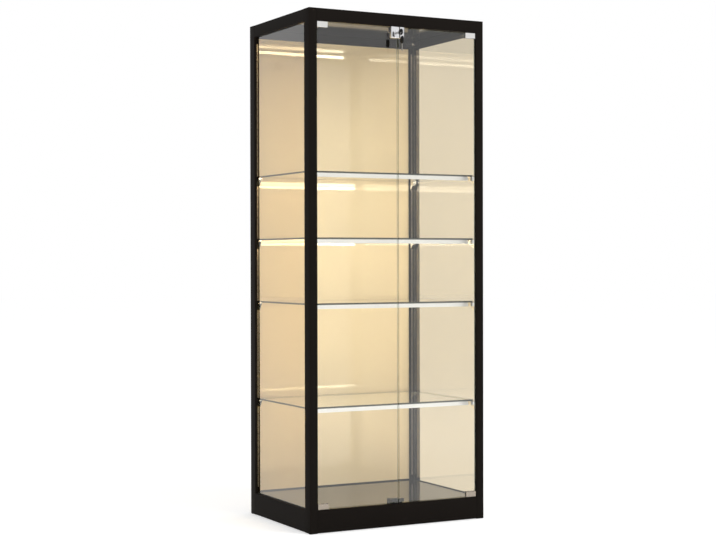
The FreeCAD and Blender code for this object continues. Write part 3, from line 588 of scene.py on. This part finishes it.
@dataclass
class Workshop:
    """What every sub-assembly needs: the model's nodes, their finishes, and the tools that dress them.

    Corners closer than the weld are one corner, and faces within the flat angle are one face. An edge
    over the sharp angle is broken, and one over the crease angle is shaded as an edge. A face of a pane
    belongs to its edge unless its normal's share through the glass is above face_on.
    """

    frame: dict
    paints: Paintbox = field(default_factory=Paintbox)
    weld: float = 2e-6
    flat: float = math.radians(1.0)
    crease: float = math.radians(20.0)
    sharp: float = math.radians(35.0)
    face_on: float = 0.95

    def slot(self, node: str) -> str:
        """Give the material slot that the record names for a node."""
        rows = self.frame["record"]["subparts"]
        return next(row["material_slot"] for row in rows if row["node"] == node)

    def body(self, node: str) -> str:
        """Give the body that a node moves with."""
        return self.frame["nodes"][node]["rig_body"]

    def corners(self, node: str) -> tuple[Vector, Vector]:
        """Give the lowest and the highest corner of a node."""
        low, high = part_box(node)
        return Vector(low), Vector(high)

    def paint(self, node: str) -> None:
        """Give a node that stays as it is the finish of its slot.

        Args:
            node: The node.
        """
        target = self.frame["nodes"][node]
        if not target.material_slots:
            target.data.materials.append(None)
        for place in target.material_slots:
            place.material = self.paints.get(self.slot(node))
        LOG.info("painted %s", node)

    def merged(self, node: str) -> bmesh.types.BMesh:
        """Copy a node's mesh, with its loose triangles joined into flat faces.

        Args:
            node: The node.

        Returns:
            The copy, for the caller to free.
        """
        shape = bmesh.new()
        shape.from_mesh(self.frame["nodes"][node].data)
        bmesh.ops.remove_doubles(shape, verts=shape.verts, dist=self.weld)
        bmesh.ops.dissolve_limit(shape, angle_limit=self.flat, verts=shape.verts, edges=shape.edges)
        return shape

    def plain(self, source: Piece, name: str) -> Piece:
        """Turn an object with modifiers into a plain mesh and remove the object.

        Args:
            source: The object with its modifiers.
            name: The new object's name.

        Returns:
            The plain object.
        """
        graph = bpy.context.evaluated_depsgraph_get()
        mesh = bpy.data.meshes.new_from_object(source.evaluated_get(graph), depsgraph=graph)
        mesh.name = name
        bpy.data.objects.remove(source)
        made = bpy.data.objects.new(name, mesh)
        bpy.context.scene.collection.objects.link(made)
        return made

    def soften(self, shape: bmesh.types.BMesh, name: str, radius: float, edging: Edging) -> Piece:
        """Turn a shape into a plain object with its sharp edges broken, and free the shape.

        Args:
            shape: The shape.
            name: The object's name.
            radius: How far the easing reaches from an edge, in metres.
            edging: How the edges are broken.

        Returns:
            The object.
        """
        mesh = bpy.data.meshes.new(name + "_draft")
        shape.to_mesh(mesh)
        shape.free()
        mesh.polygons.foreach_set("use_smooth", [True] * len(mesh.polygons))
        draft = bpy.data.objects.new(name + "_draft", mesh)
        bpy.context.scene.collection.objects.link(draft)
        easing = draft.modifiers.new("easing", "BEVEL")
        easing.width = radius
        easing.segments = edging.value
        easing.limit_method = "ANGLE"
        easing.angle_limit = self.sharp
        piece = self.plain(draft, name)
        piece.data.set_sharp_from_angle(angle=self.crease)
        return piece

    def attach(self, piece: Piece, body: str, slot: str) -> Piece:
        """Let a piece ride on a body and take a slot and its finish.

        Args:
            piece: The piece.
            body: The body it moves with.
            slot: Its material slot.

        Returns:
            The piece.
        """
        piece.data.materials.clear()
        piece.data.materials.append(self.paints.get(slot))
        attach(piece, body)
        LOG.info("made %s", piece.name)
        return piece

    def stand(self, piece: Piece, node: str) -> Piece:
        """Let a piece stand for a node, ride on its body and take its slot and finish."""
        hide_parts(node)
        return self.attach(piece, self.body(node), self.slot(node))

    def ease(self, node: str, radius: float, edging: Edging = Edging.EASED) -> Piece:
        """Make a copy of a node with its sharp edges broken, in place of the node."""
        return self.stand(self.soften(self.merged(node), node + "_eased", radius, edging), node)

    def ease_all(self, nodes: Iterable[str], radius: float, edging: Edging = Edging.EASED) -> None:
        """Break the edges of several nodes alike."""
        for node in nodes:
            self.ease(node, radius, edging)

    def part_finish(
        self,
        piece: Piece,
        finish: str,
        chosen: Callable[[bpy.types.MeshPolygon], bool],
    ) -> None:
        """Give some faces of a piece a second finish.

        Args:
            piece: The piece.
            finish: The name of the second finish.
            chosen: Tells whether a face gets it.
        """
        second = len(piece.data.materials)
        piece.data.materials.append(self.paints.get(finish))
        for face in piece.data.polygons:
            if chosen(face):
                face.material_index = second

    def glaze(self, node: str, through: Axis, arris: float, pane: str, edge: str) -> Piece:
        """Make a pane with ground corners and a polished edge, in place of a node.

        Args:
            node: The pane's node.
            through: The direction through the glass.
            arris: Width of the ground corner, in metres.
            pane: The finish of its two large faces.
            edge: The finish of its edges.

        Returns:
            The pane.
        """
        piece = self.ease(node, arris, Edging.GROUND)
        piece.data.materials[0] = self.paints.get(pane)
        self.part_finish(piece, edge, lambda face: abs(face.normal[through.value]) <= self.face_on)
        return piece

    def solids(self, node: str) -> list[list[Vector]]:
        """List the corners of each separate solid in a node.

        Args:
            node: The node.

        Returns:
            One list of corners for each solid.
        """
        shape = self.merged(node)
        left = set(shape.verts)
        found = []
        for start in shape.verts:
            if start not in left:
                continue
            left.remove(start)
            waiting = [start]
            corners = []
            while waiting:
                corner = waiting.pop()
                corners.append(corner.co.copy())
                for edge in corner.link_edges:
                    other = edge.other_vert(corner)
                    if other in left:
                        left.remove(other)
                        waiting.append(other)
            found.append(corners)
        shape.free()
        return found


class RepeatTree(Board):
    """A Geometry Nodes tree that puts one small shape at many points."""

    def __init__(self, name: str, sizes: Iterable[str]) -> None:
        """Make the tree with its inputs: its sizes and a material.

        Args:
            name: The tree's name.
            sizes: The names of the shape's sizes.
        """
        super().__init__(bpy.data.node_groups.new(name, "GeometryNodeTree"))
        inputs = {size: "NodeSocketFloat" for size in sizes} | {"Material": "NodeSocketMaterial"}
        face = self.tree.interface
        face.new_socket("Geometry", in_out="INPUT", socket_type="NodeSocketGeometry")
        self.keys = {}
        for label, kind in inputs.items():
            self.keys[label] = face.new_socket(label, in_out="INPUT", socket_type=kind).identifier
        face.new_socket("Geometry", in_out="OUTPUT", socket_type="NodeSocketGeometry")
        self.given = self.node("NodeGroupInput").outputs

    def repeat(self, shape: Socket) -> None:
        """Put a shape at each point, with its Z axis along the point's direction, and end the tree.

        Args:
            shape: The small shape.
        """
        way = self.node("GeometryNodeInputNamedAttribute", {"data_type": "FLOAT_VECTOR"}, {"Name": FACING})
        turn = self.node("FunctionNodeAlignRotationToVector", {"axis": "Z"}, {
            "Vector": way.outputs["Attribute"],
        })
        points = self.node("GeometryNodeInstanceOnPoints", None, {
            "Points": self.given["Geometry"],
            "Instance": shape,
            "Rotation": turn.outputs["Rotation"],
        })
        real = self.node("GeometryNodeRealizeInstances", None, {"Geometry": points.outputs["Instances"]})
        painted = self.node("GeometryNodeSetMaterial", None, {
            "Geometry": real.outputs["Geometry"],
            "Material": self.given["Material"],
        })
        self.node("NodeGroupOutput", None, {"Geometry": painted.outputs["Geometry"]})

    def run(self, shop: Workshop, name: str, spots: list[tuple[Vector, Vector]], sizes: dict) -> Piece:
        """Make the mesh of the shape at some spots.

        Args:
            shop: The workshop.
            name: The piece's name.
            spots: Places and the directions they face.
            sizes: Values of the tree's inputs.

        Returns:
            A plain object.
        """
        mesh = bpy.data.meshes.new(name + "_spots")
        mesh.from_pydata([place for place, _ in spots], [], [])
        ways = mesh.attributes.new(FACING, "FLOAT_VECTOR", "POINT")
        ways.data.foreach_set("vector", [part for _, way in spots for part in way])
        draft = bpy.data.objects.new(name + "_draft", mesh)
        bpy.context.scene.collection.objects.link(draft)
        steps = draft.modifiers.new("repeat", "NODES")
        steps.node_group = self.tree
        for label, given in sizes.items():
            steps[self.keys[label]] = given
        return shop.plain(draft, name)


def socket_tree(sides: int = 6) -> RepeatTree:
    """Make the tree of thin near-black hexagons on screw heads: painted shade that stands in for their
    sockets.

    Args:
        sides: Sides of a socket.

    Returns:
        The tree.
    """
    tree = RepeatTree("painted_shade_sockets", ("Radius", "Depth"))
    recess = tree.node("GeometryNodeMeshCylinder", {"fill_type": "NGON"}, {
        "Vertices": sides,
        "Radius": tree.given["Radius"],
        "Depth": tree.given["Depth"],
    })
    tree.repeat(recess.outputs["Mesh"])
    return tree


def slot_tree(rounding: float = 0.49, corner_steps: int = 4) -> RepeatTree:
    """Make the tree of thin near-black rounded plates on a track: painted shade that stands in for its
    punched slots.

    Args:
        rounding: The corners' radius as a share of the slot's width.
        corner_steps: Points on each corner.

    Returns:
        The tree.
    """
    tree = RepeatTree("painted_shade_slots", ("Width", "Length", "Depth"))
    outline = tree.node("GeometryNodeCurvePrimitiveQuadrilateral", {"mode": "RECTANGLE"}, {
        "Width": tree.given["Width"],
        "Height": tree.given["Length"],
    })
    radius = tree.node("ShaderNodeMath", {"operation": "MULTIPLY"}, {0: tree.given["Width"], 1: rounding})
    rounded = tree.node("GeometryNodeFilletCurve", {"mode": "POLY"}, {
        "Curve": outline.outputs["Curve"],
        "Radius": radius.outputs["Value"],
        "Count": corner_steps,
    })
    plate = tree.node("GeometryNodeFillCurve", {"mode": "NGONS"}, {"Curve": rounded.outputs["Curve"]})
    raised = tree.node("GeometryNodeExtrudeMesh", {"mode": "FACES"}, {
        "Mesh": plate.outputs["Mesh"],
        "Offset Scale": tree.given["Depth"],
    })
    tree.repeat(raised.outputs["Mesh"])
    return tree


@dataclass
class Carcass:
    """The black frame with its panels, caps and glides."""

    shop: Workshop
    profile_easing: float = 0.0009
    panel_easing: float = 0.0005
    cap_easing: float = 0.0004
    strip_height: float = 0.004
    strip_depth: float = 0.003

    def lay_back_foot_strip(self) -> None:
        """Lay a thin black strip, in the side glass seals' finish, along the foot of the back panel between
        the rear posts, which darkens the panel's foot.
        """
        left = self.shop.corners("rear_left_post")[1].x
        right = self.shop.corners("rear_right_post")[0].x
        back = self.shop.corners("back_panel")[0].y
        floor = self.shop.corners("floor_panel")[1].z
        shape = bmesh.new()
        bmesh.ops.create_cube(shape, size=1.0)
        for corner in shape.verts:
            corner.co.x = right if corner.co.x > 0.0 else left
            corner.co.y = back if corner.co.y > 0.0 else back - self.strip_depth
            corner.co.z = floor + self.strip_height if corner.co.z > 0.0 else floor
        seal = self.shop.soften(shape, "back_foot_strip", self.panel_easing, Edging.GROUND)
        self.shop.attach(seal, self.shop.body("back_panel"), self.shop.slot("side_glass_seals"))

    def build(self) -> None:
        """Ease the frame's edges and dress its panels."""
        posts = [f"{end}_{side}_post" for end in ("front", "rear") for side in ("left", "right")]
        sides = ("front", "rear", "left", "right")
        rails = [f"{side}_{kind}" for side in sides for kind in ("top_rail", "plinth")]
        self.shop.ease_all(posts + rails, self.profile_easing)
        self.shop.ease_all(("top_panel", "floor_panel", "back_panel"), self.panel_easing)
        self.shop.ease_all(("post_caps", "glides"), self.cap_easing)
        self.shop.paint("side_glass_seals")
        self.lay_back_foot_strip()


@dataclass
class Glazing:
    """The fixed glass sides and the shelves."""

    shop: Workshop
    arris: float = 0.0006
    shelves: int = 4

    def outside(self, face: bpy.types.MeshPolygon) -> bool:
        """Tell the face of a side pane that looks out of the cabinet."""
        return face.normal.x * math.copysign(1.0, face.center.x) > self.shop.face_on

    def build(self) -> None:
        """Make the panes; the sides mirror less on their outside."""
        for side in ("left", "right"):
            node = f"{side}_side_glass"
            # The sides' warm tint is partly painted reflection of the lit cream back panel.
            pane = self.shop.glaze(node, Axis.ACROSS, self.arris, "side_glass", "clear_edge")
            self.shop.part_finish(pane, "side_glass_outside", self.outside)
        for number in range(1, self.shelves + 1):
            self.shop.glaze(f"shelf_{number}", Axis.UP, self.arris, "shelf_glass", "shelf_edge")


@dataclass
class Doors:
    """The two frameless doors with their clamps, pins, pads and strike plates."""

    shop: Workshop
    arris: float = 0.0006
    clamp_easing: float = 0.0012
    plate_easing: float = 0.0002

    def make_clamps(self, node: str) -> None:
        """Make a door's two clamps, the lower one in a darker, duller copy of the chrome: painted shade.

        Args:
            node: The clamps' node.
        """
        clamps = self.shop.ease(node, self.clamp_easing, Edging.ROUNDED)
        low, high = self.shop.corners(node)
        middle = (low.z + high.z) / 2.0
        # The lower clamp's faces take the darker chrome: painted shade, as the real clamps are one chrome.
        self.shop.part_finish(clamps, "clamp_chrome_painted_shade", lambda face: face.center.z < middle)

    def build(self) -> None:
        """Make both doors."""
        for side in ("left", "right"):
            self.shop.glaze(f"{side}_door_glass", Axis.DEPTH, self.arris, "clear_glass", "clear_edge")
            self.make_clamps(f"{side}_hinge_clamps")
            self.shop.ease(f"{side}_strike_plate", self.plate_easing)
            for kind in ("hinge_pins", "door_pads", "door_screws"):
                self.shop.paint(f"{side}_{kind}")
        self.shop.paint("pivot_bushes")


@dataclass
class LockSet:
    """The lock at the top of the meeting line, its keeper and its keys."""

    shop: Workshop
    case_easing: float = 0.0012
    bow_easing: float = 0.0006
    small_easing: float = 0.0003
    blade_easing: float = 0.0001
    first_cut: float = 0.0055
    cut_pitch: float = 0.0033
    cut_flat: float = 0.0008
    cut_slope: float = 0.6
    cut_depths: tuple[float, ...] = (0.0011, 0.0021, 0.0014, 0.0024, 0.0009)
    blade_tip: float = 0.0022

    def blade_outline(self, low: Vector, high: Vector) -> list[tuple[float, float]]:
        """Draw the side of the spare key's blade: its cuts, its tip and its straight back.

        Args:
            low: The blade's lowest corner.
            high: Its highest corner.

        Returns:
            Places from front to back and up, in order round the blade.
        """
        points = [(low.y, high.z)]
        flat = self.cut_flat / 2.0
        for number, depth in enumerate(self.cut_depths):
            middle = high.z - self.first_cut - number * self.cut_pitch
            mouth = flat + depth * self.cut_slope
            points.append((low.y, middle + mouth))
            points.append((low.y + depth, middle + flat))
            points.append((low.y + depth, middle - flat))
            points.append((low.y, middle - mouth))
        points.append((low.y, low.z + self.blade_tip))
        points.append((low.y + self.blade_tip, low.z))
        points.append((high.y - self.blade_tip, low.z))
        points.append((high.y, low.z + self.blade_tip))
        points.append((high.y, high.z))
        return points

    def cut_blade(self, node: str) -> None:
        """Make a key's blade with its cuts, in place of a node.

        Args:
            node: The blade's node.
        """
        low, high = self.shop.corners(node)
        shape = bmesh.new()
        outline = [shape.verts.new((low.x, *point)) for point in self.blade_outline(low, high)]
        moved = bmesh.ops.extrude_face_region(shape, geom=[shape.faces.new(outline)])["geom"]
        for corner in (item for item in moved if isinstance(item, bmesh.types.BMVert)):
            corner.co.x = high.x
        bmesh.ops.recalc_face_normals(shape, faces=shape.faces)
        self.shop.stand(self.shop.soften(shape, node + "_cut", self.blade_easing, Edging.GROUND), node)

    def build(self) -> None:
        """Dress the lock and the keys."""
        self.shop.ease_all(("lock_case", "keeper_case"), self.case_easing, Edging.ROUNDED)
        self.shop.ease_all(("key_bow", "spare_key_bow"), self.bow_easing, Edging.ROUNDED)
        self.shop.ease_all(("lock_plug", "lock_bolt"), self.small_easing)
        self.cut_blade("spare_key_blade")
        for node in ("key_blade", "key_ring"):
            self.shop.paint(node)


@dataclass
class TouchLatch:
    """The touch latch at the foot of the meeting line."""

    shop: Workshop
    housing_easing: float = 0.0008
    plunger_easing: float = 0.0004

    def build(self) -> None:
        """Ease the housing and the plungers."""
        self.shop.ease("latch_housing", self.housing_easing, Edging.ROUNDED)
        self.shop.ease_all(("left_latch_plunger", "right_latch_plunger"), self.plunger_easing)


@dataclass
class ShelfGear:
    """The tracks, with painted shade where their slots are punched, and the clips that carry the shelves.
    """

    shop: Workshop
    clip_easing: float = 0.0004
    slot_pitch: float = 0.025
    slot_width: float = 0.0016
    slot_length: float = 0.005
    slot_depth: float = 0.00005
    slot_margin: float = 0.02

    def slot_spots(self, corners: list[Vector]) -> list[tuple[Vector, Vector]]:
        """Find the places of a track's slots, on its side towards the shelves.

        Args:
            corners: The corners of one track.

        Returns:
            Places and the directions they face.
        """
        low, high = extent(corners)
        inward = -1.0 if low.y > 0.0 else 1.0
        face = low.y if inward < 0.0 else high.y
        count = int((high.z - low.z - 2.0 * self.slot_margin) / self.slot_pitch)
        spots = []
        for step in range(count + 1):
            height = low.z + self.slot_margin + step * self.slot_pitch
            place = Vector(((low.x + high.x) / 2.0, face, height))
            spots.append((place, Vector((0.0, inward, 0.0))))
        return spots

    def build(self) -> None:
        """Dress the tracks and lay painted shade over their slots."""
        self.shop.ease("shelf_clips", self.clip_easing)
        self.shop.paint("shelf_tracks")
        spots = []
        for corners in self.shop.solids("shelf_tracks"):
            spots += self.slot_spots(corners)
        # Thin near-black plates at the slots: painted shade for the punched holes.
        slots = slot_tree().run(self.shop, "track_slot_shade", spots, {
            "Width": self.slot_width,
            "Length": self.slot_length,
            "Depth": self.slot_depth,
            "Material": self.shop.paints.get("recess_painted_shade"),
        })
        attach(slots, "cabinet")
        LOG.info("made %s at %d places", slots.name, len(spots))


@dataclass
class Lighting:
    """The light channels with their opal covers, and the driver and inlet that feed them."""

    shop: Workshop
    channel_easing: float = 0.0003
    cap_easing: float = 0.0003
    driver_easing: float = 0.0015

    def build(self) -> None:
        """Dress the lights."""
        self.shop.ease_all(("shelf_light_channels", "top_light_channel"), self.channel_easing)
        self.shop.ease("light_end_caps", self.cap_easing)
        self.shop.ease("light_driver", self.driver_easing, Edging.ROUNDED)
        for node in ("light_strips", "light_diffusers", "power_inlet"):
            self.shop.paint(node)


@dataclass
class Fasteners:
    """The corner brackets and every screw, with a thin near-black hexagon of painted shade for the socket
    in each head.
    """

    shop: Workshop
    bracket_easing: float = 0.0004
    socket_share: float = 0.5
    socket_depth: float = 0.0001
    rim_gap: float = 0.00001
    radius_digits: int = 5

    def head(self, corners: list[Vector]) -> tuple[Vector, Vector, float]:
        """Find a screw's head: its wider end, or its front end where both are alike.

        Args:
            corners: The corners of one screw.

        Returns:
            The middle of the head's face, the way it faces, and its radius.
        """
        low, high = extent(corners)
        middle = (low + high) / 2.0
        along = max(range(3), key=lambda axis: high[axis] - low[axis])
        ends = []
        for place, sign in ((low[along], -1.0), (high[along], 1.0)):
            reach = 0.0
            for corner in corners:
                if abs(corner[along] - place) < self.rim_gap:
                    offset = corner - middle
                    offset[along] = 0.0
                    reach = max(reach, offset.length)
            ends.append((reach, sign, place))
        radius, sign, place = max(ends, key=lambda end: (round(end[0], self.radius_digits), end[1]))
        face = middle.copy()
        face[along] = place
        way = Vector((0.0, 0.0, 0.0))
        way[along] = sign
        return face, way, radius

    def build(self) -> None:
        """Dress the brackets and screws and lay a hexagon of painted shade for the socket on each head."""
        self.shop.ease("corner_brackets", self.bracket_easing)
        self.shop.paint("frame_screws")
        tree = socket_tree()
        for node in ("frame_screws", "left_door_screws", "right_door_screws"):
            heads = [self.head(corners) for corners in self.shop.solids(node)]
            spots = [(face, way) for face, way, _ in heads]
            # A thin near-black hexagon on each head: painted shade for its socket.
            sockets = tree.run(self.shop, f"{node}_sockets", spots, {
                "Radius": min(radius for _, _, radius in heads) * self.socket_share,
                "Depth": self.socket_depth,
                "Material": self.shop.paints.get("recess_painted_shade"),
            })
            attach(sockets, self.shop.body(node))
            self.shop.slot(node)
            LOG.info("made %s", sockets.name)


@dataclass(frozen=True)
class Lamp:
    """One soft lamp: its power in watts, its width in metres and where it hangs."""

    name: str
    power: float
    width: float
    place: Place

    def hang(self, aim: Place) -> None:
        """Hang the lamp.

        Args:
            aim: What it points at.
        """
        data = bpy.data.lights.new(self.name, "AREA")
        data.energy = self.power
        data.size = self.width
        lamp = bpy.data.objects.new(self.name, data)
        lamp.location = self.place
        lamp.visible_glossy = False
        lamp.rotation_euler = (Vector(aim) - Vector(self.place)).to_track_quat("-Z", "Y").to_euler()
        bpy.context.scene.collection.objects.link(lamp)


@dataclass
class Studio:
    """A pale floor, soft lamps, a white surround and the camera of the photograph."""

    image_width: float = 716.0
    focal_pixels: float = 1518.0
    sensor: float = 36.0
    farthest: float = 200.0
    station: Place = (-2.615, -4.906, 0.937)
    yaw: float = math.radians(-27.77)
    pitch: float = math.radians(-0.37)
    roll: float = math.radians(-0.12)
    panes_in_line: int = 32
    surround_light: float = 0.75
    floor_reach: float = 30.0
    floor_colour: Colour = (0.8, 0.8, 0.8)
    floor_roughness: float = 0.9
    floor_glow: float = 0.4
    aim: Place = (0.0, 0.0, 0.9)
    lamps: tuple[Lamp, ...] = (
        Lamp("key_lamp", power=120.0, width=2.5, place=(2.2, -4.0, 3.6)),
        Lamp("fill_lamp", power=30.0, width=3.0, place=(-3.5, -3.0, 3.0)),
    )

    def camera(self) -> None:
        """Stand the camera where the photograph was taken from."""
        data = bpy.data.cameras.new("photo_camera")
        data.sensor_fit = "HORIZONTAL"
        data.sensor_width = self.sensor
        data.lens = self.focal_pixels / self.image_width * self.sensor
        data.clip_end = self.farthest
        ahead = Vector((-math.sin(self.yaw), math.cos(self.yaw), 0.0))
        right = Vector((math.cos(self.yaw), math.sin(self.yaw), 0.0))
        up = Vector((0.0, 0.0, 1.0))
        ahead, up = (
            ahead * math.cos(self.pitch) + up * math.sin(self.pitch),
            up * math.cos(self.pitch) - ahead * math.sin(self.pitch),
        )
        right, up = (
            right * math.cos(self.roll) + up * math.sin(self.roll),
            up * math.cos(self.roll) - right * math.sin(self.roll),
        )
        turn = Matrix((right, up, -ahead)).transposed().to_4x4()
        eye = bpy.data.objects.new("photo_camera", data)
        eye.matrix_world = Matrix.Translation(Vector(self.station)) @ turn
        bpy.context.scene.collection.objects.link(eye)
        bpy.context.scene.camera = eye

    def seen(self, shader: Shader) -> Expr:
        """Tell rays that show a thing to the camera, straight or by glass and metal, from those of light.

        Args:
            shader: The shader to add the nodes to.

        Returns:
            1 for rays that show a thing, and 0 for others.
        """
        path = shader.node("ShaderNodeLightPath").outputs
        straight, mirrored, through = (
            Expr(shader, path[f"Is {kind} Ray"]) for kind in ("Camera", "Glossy", "Transmission")
        )
        total = straight + mirrored + through
        return shader.value("ShaderNodeMath", "Value", {"operation": "MINIMUM"}, {0: total, 1: 1.0})

    def surround(self) -> None:
        """Make a white surround that lights the object softly."""
        world = bpy.data.worlds.new("white_surround")
        bpy.context.scene.world = world
        shader = Shader(world)
        shown = self.seen(shader)
        strength = shown + (1.0 - shown) * self.surround_light
        glow = shader.node("ShaderNodeBackground", None, {"Color": WHITE, "Strength": strength})
        shader.node("ShaderNodeOutputWorld", None, {"Surface": glow.outputs["Background"]})

    def floor_material(self) -> bpy.types.Material:
        """Make the floor's matt white, which glows a little where it is seen.

        Returns:
            The material.
        """
        material = bpy.data.materials.new("studio_floor")
        shader = Shader(material)
        strength = self.seen(shader) * self.floor_glow
        matt = shader.principled(
            Base_Color=self.floor_colour,
            Roughness=self.floor_roughness,
            Specular_IOR_Level=0.0,
        )
        glow = shader.node("ShaderNodeEmission", None, {"Color": WHITE, "Strength": strength})
        both = shader.node("ShaderNodeAddShader", None, {0: matt, 1: glow.outputs["Emission"]})
        shader.node("ShaderNodeOutputMaterial", None, {"Surface": both.outputs["Shader"]})
        return material

    def floor(self) -> None:
        """Lay a pale floor that keeps the object's shadow."""
        reach = self.floor_reach
        corners = [(-reach, -reach, 0.0), (reach, -reach, 0.0), (reach, reach, 0.0), (-reach, reach, 0.0)]
        mesh = bpy.data.meshes.new("studio_floor")
        mesh.from_pydata(corners, [], [(0, 1, 2, 3)])
        mesh.materials.append(self.floor_material())
        slab = bpy.data.objects.new("studio_floor", mesh)
        bpy.context.scene.collection.objects.link(slab)

    def build(self) -> None:
        """Set up the whole studio."""
        scene = bpy.context.scene
        scene.view_settings.view_transform = "Standard"
        scene.cycles.transparent_max_bounces = self.panes_in_line
        self.camera()
        self.surround()
        self.floor()
        for lamp in self.lamps:
            lamp.hang(self.aim)


def main() -> None:
    """Load the model, dress every sub-assembly and set up the studio."""
    logging.basicConfig(level=logging.INFO, format="%(name)s: %(message)s")
    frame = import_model()
    shop = Workshop(frame)
    for assembly in (Carcass, Glazing, Doors, LockSet, TouchLatch, ShelfGear, Lighting, Fasteners):
        assembly(shop).build()
    Studio().build()


if __name__ == "__main__":
    main()
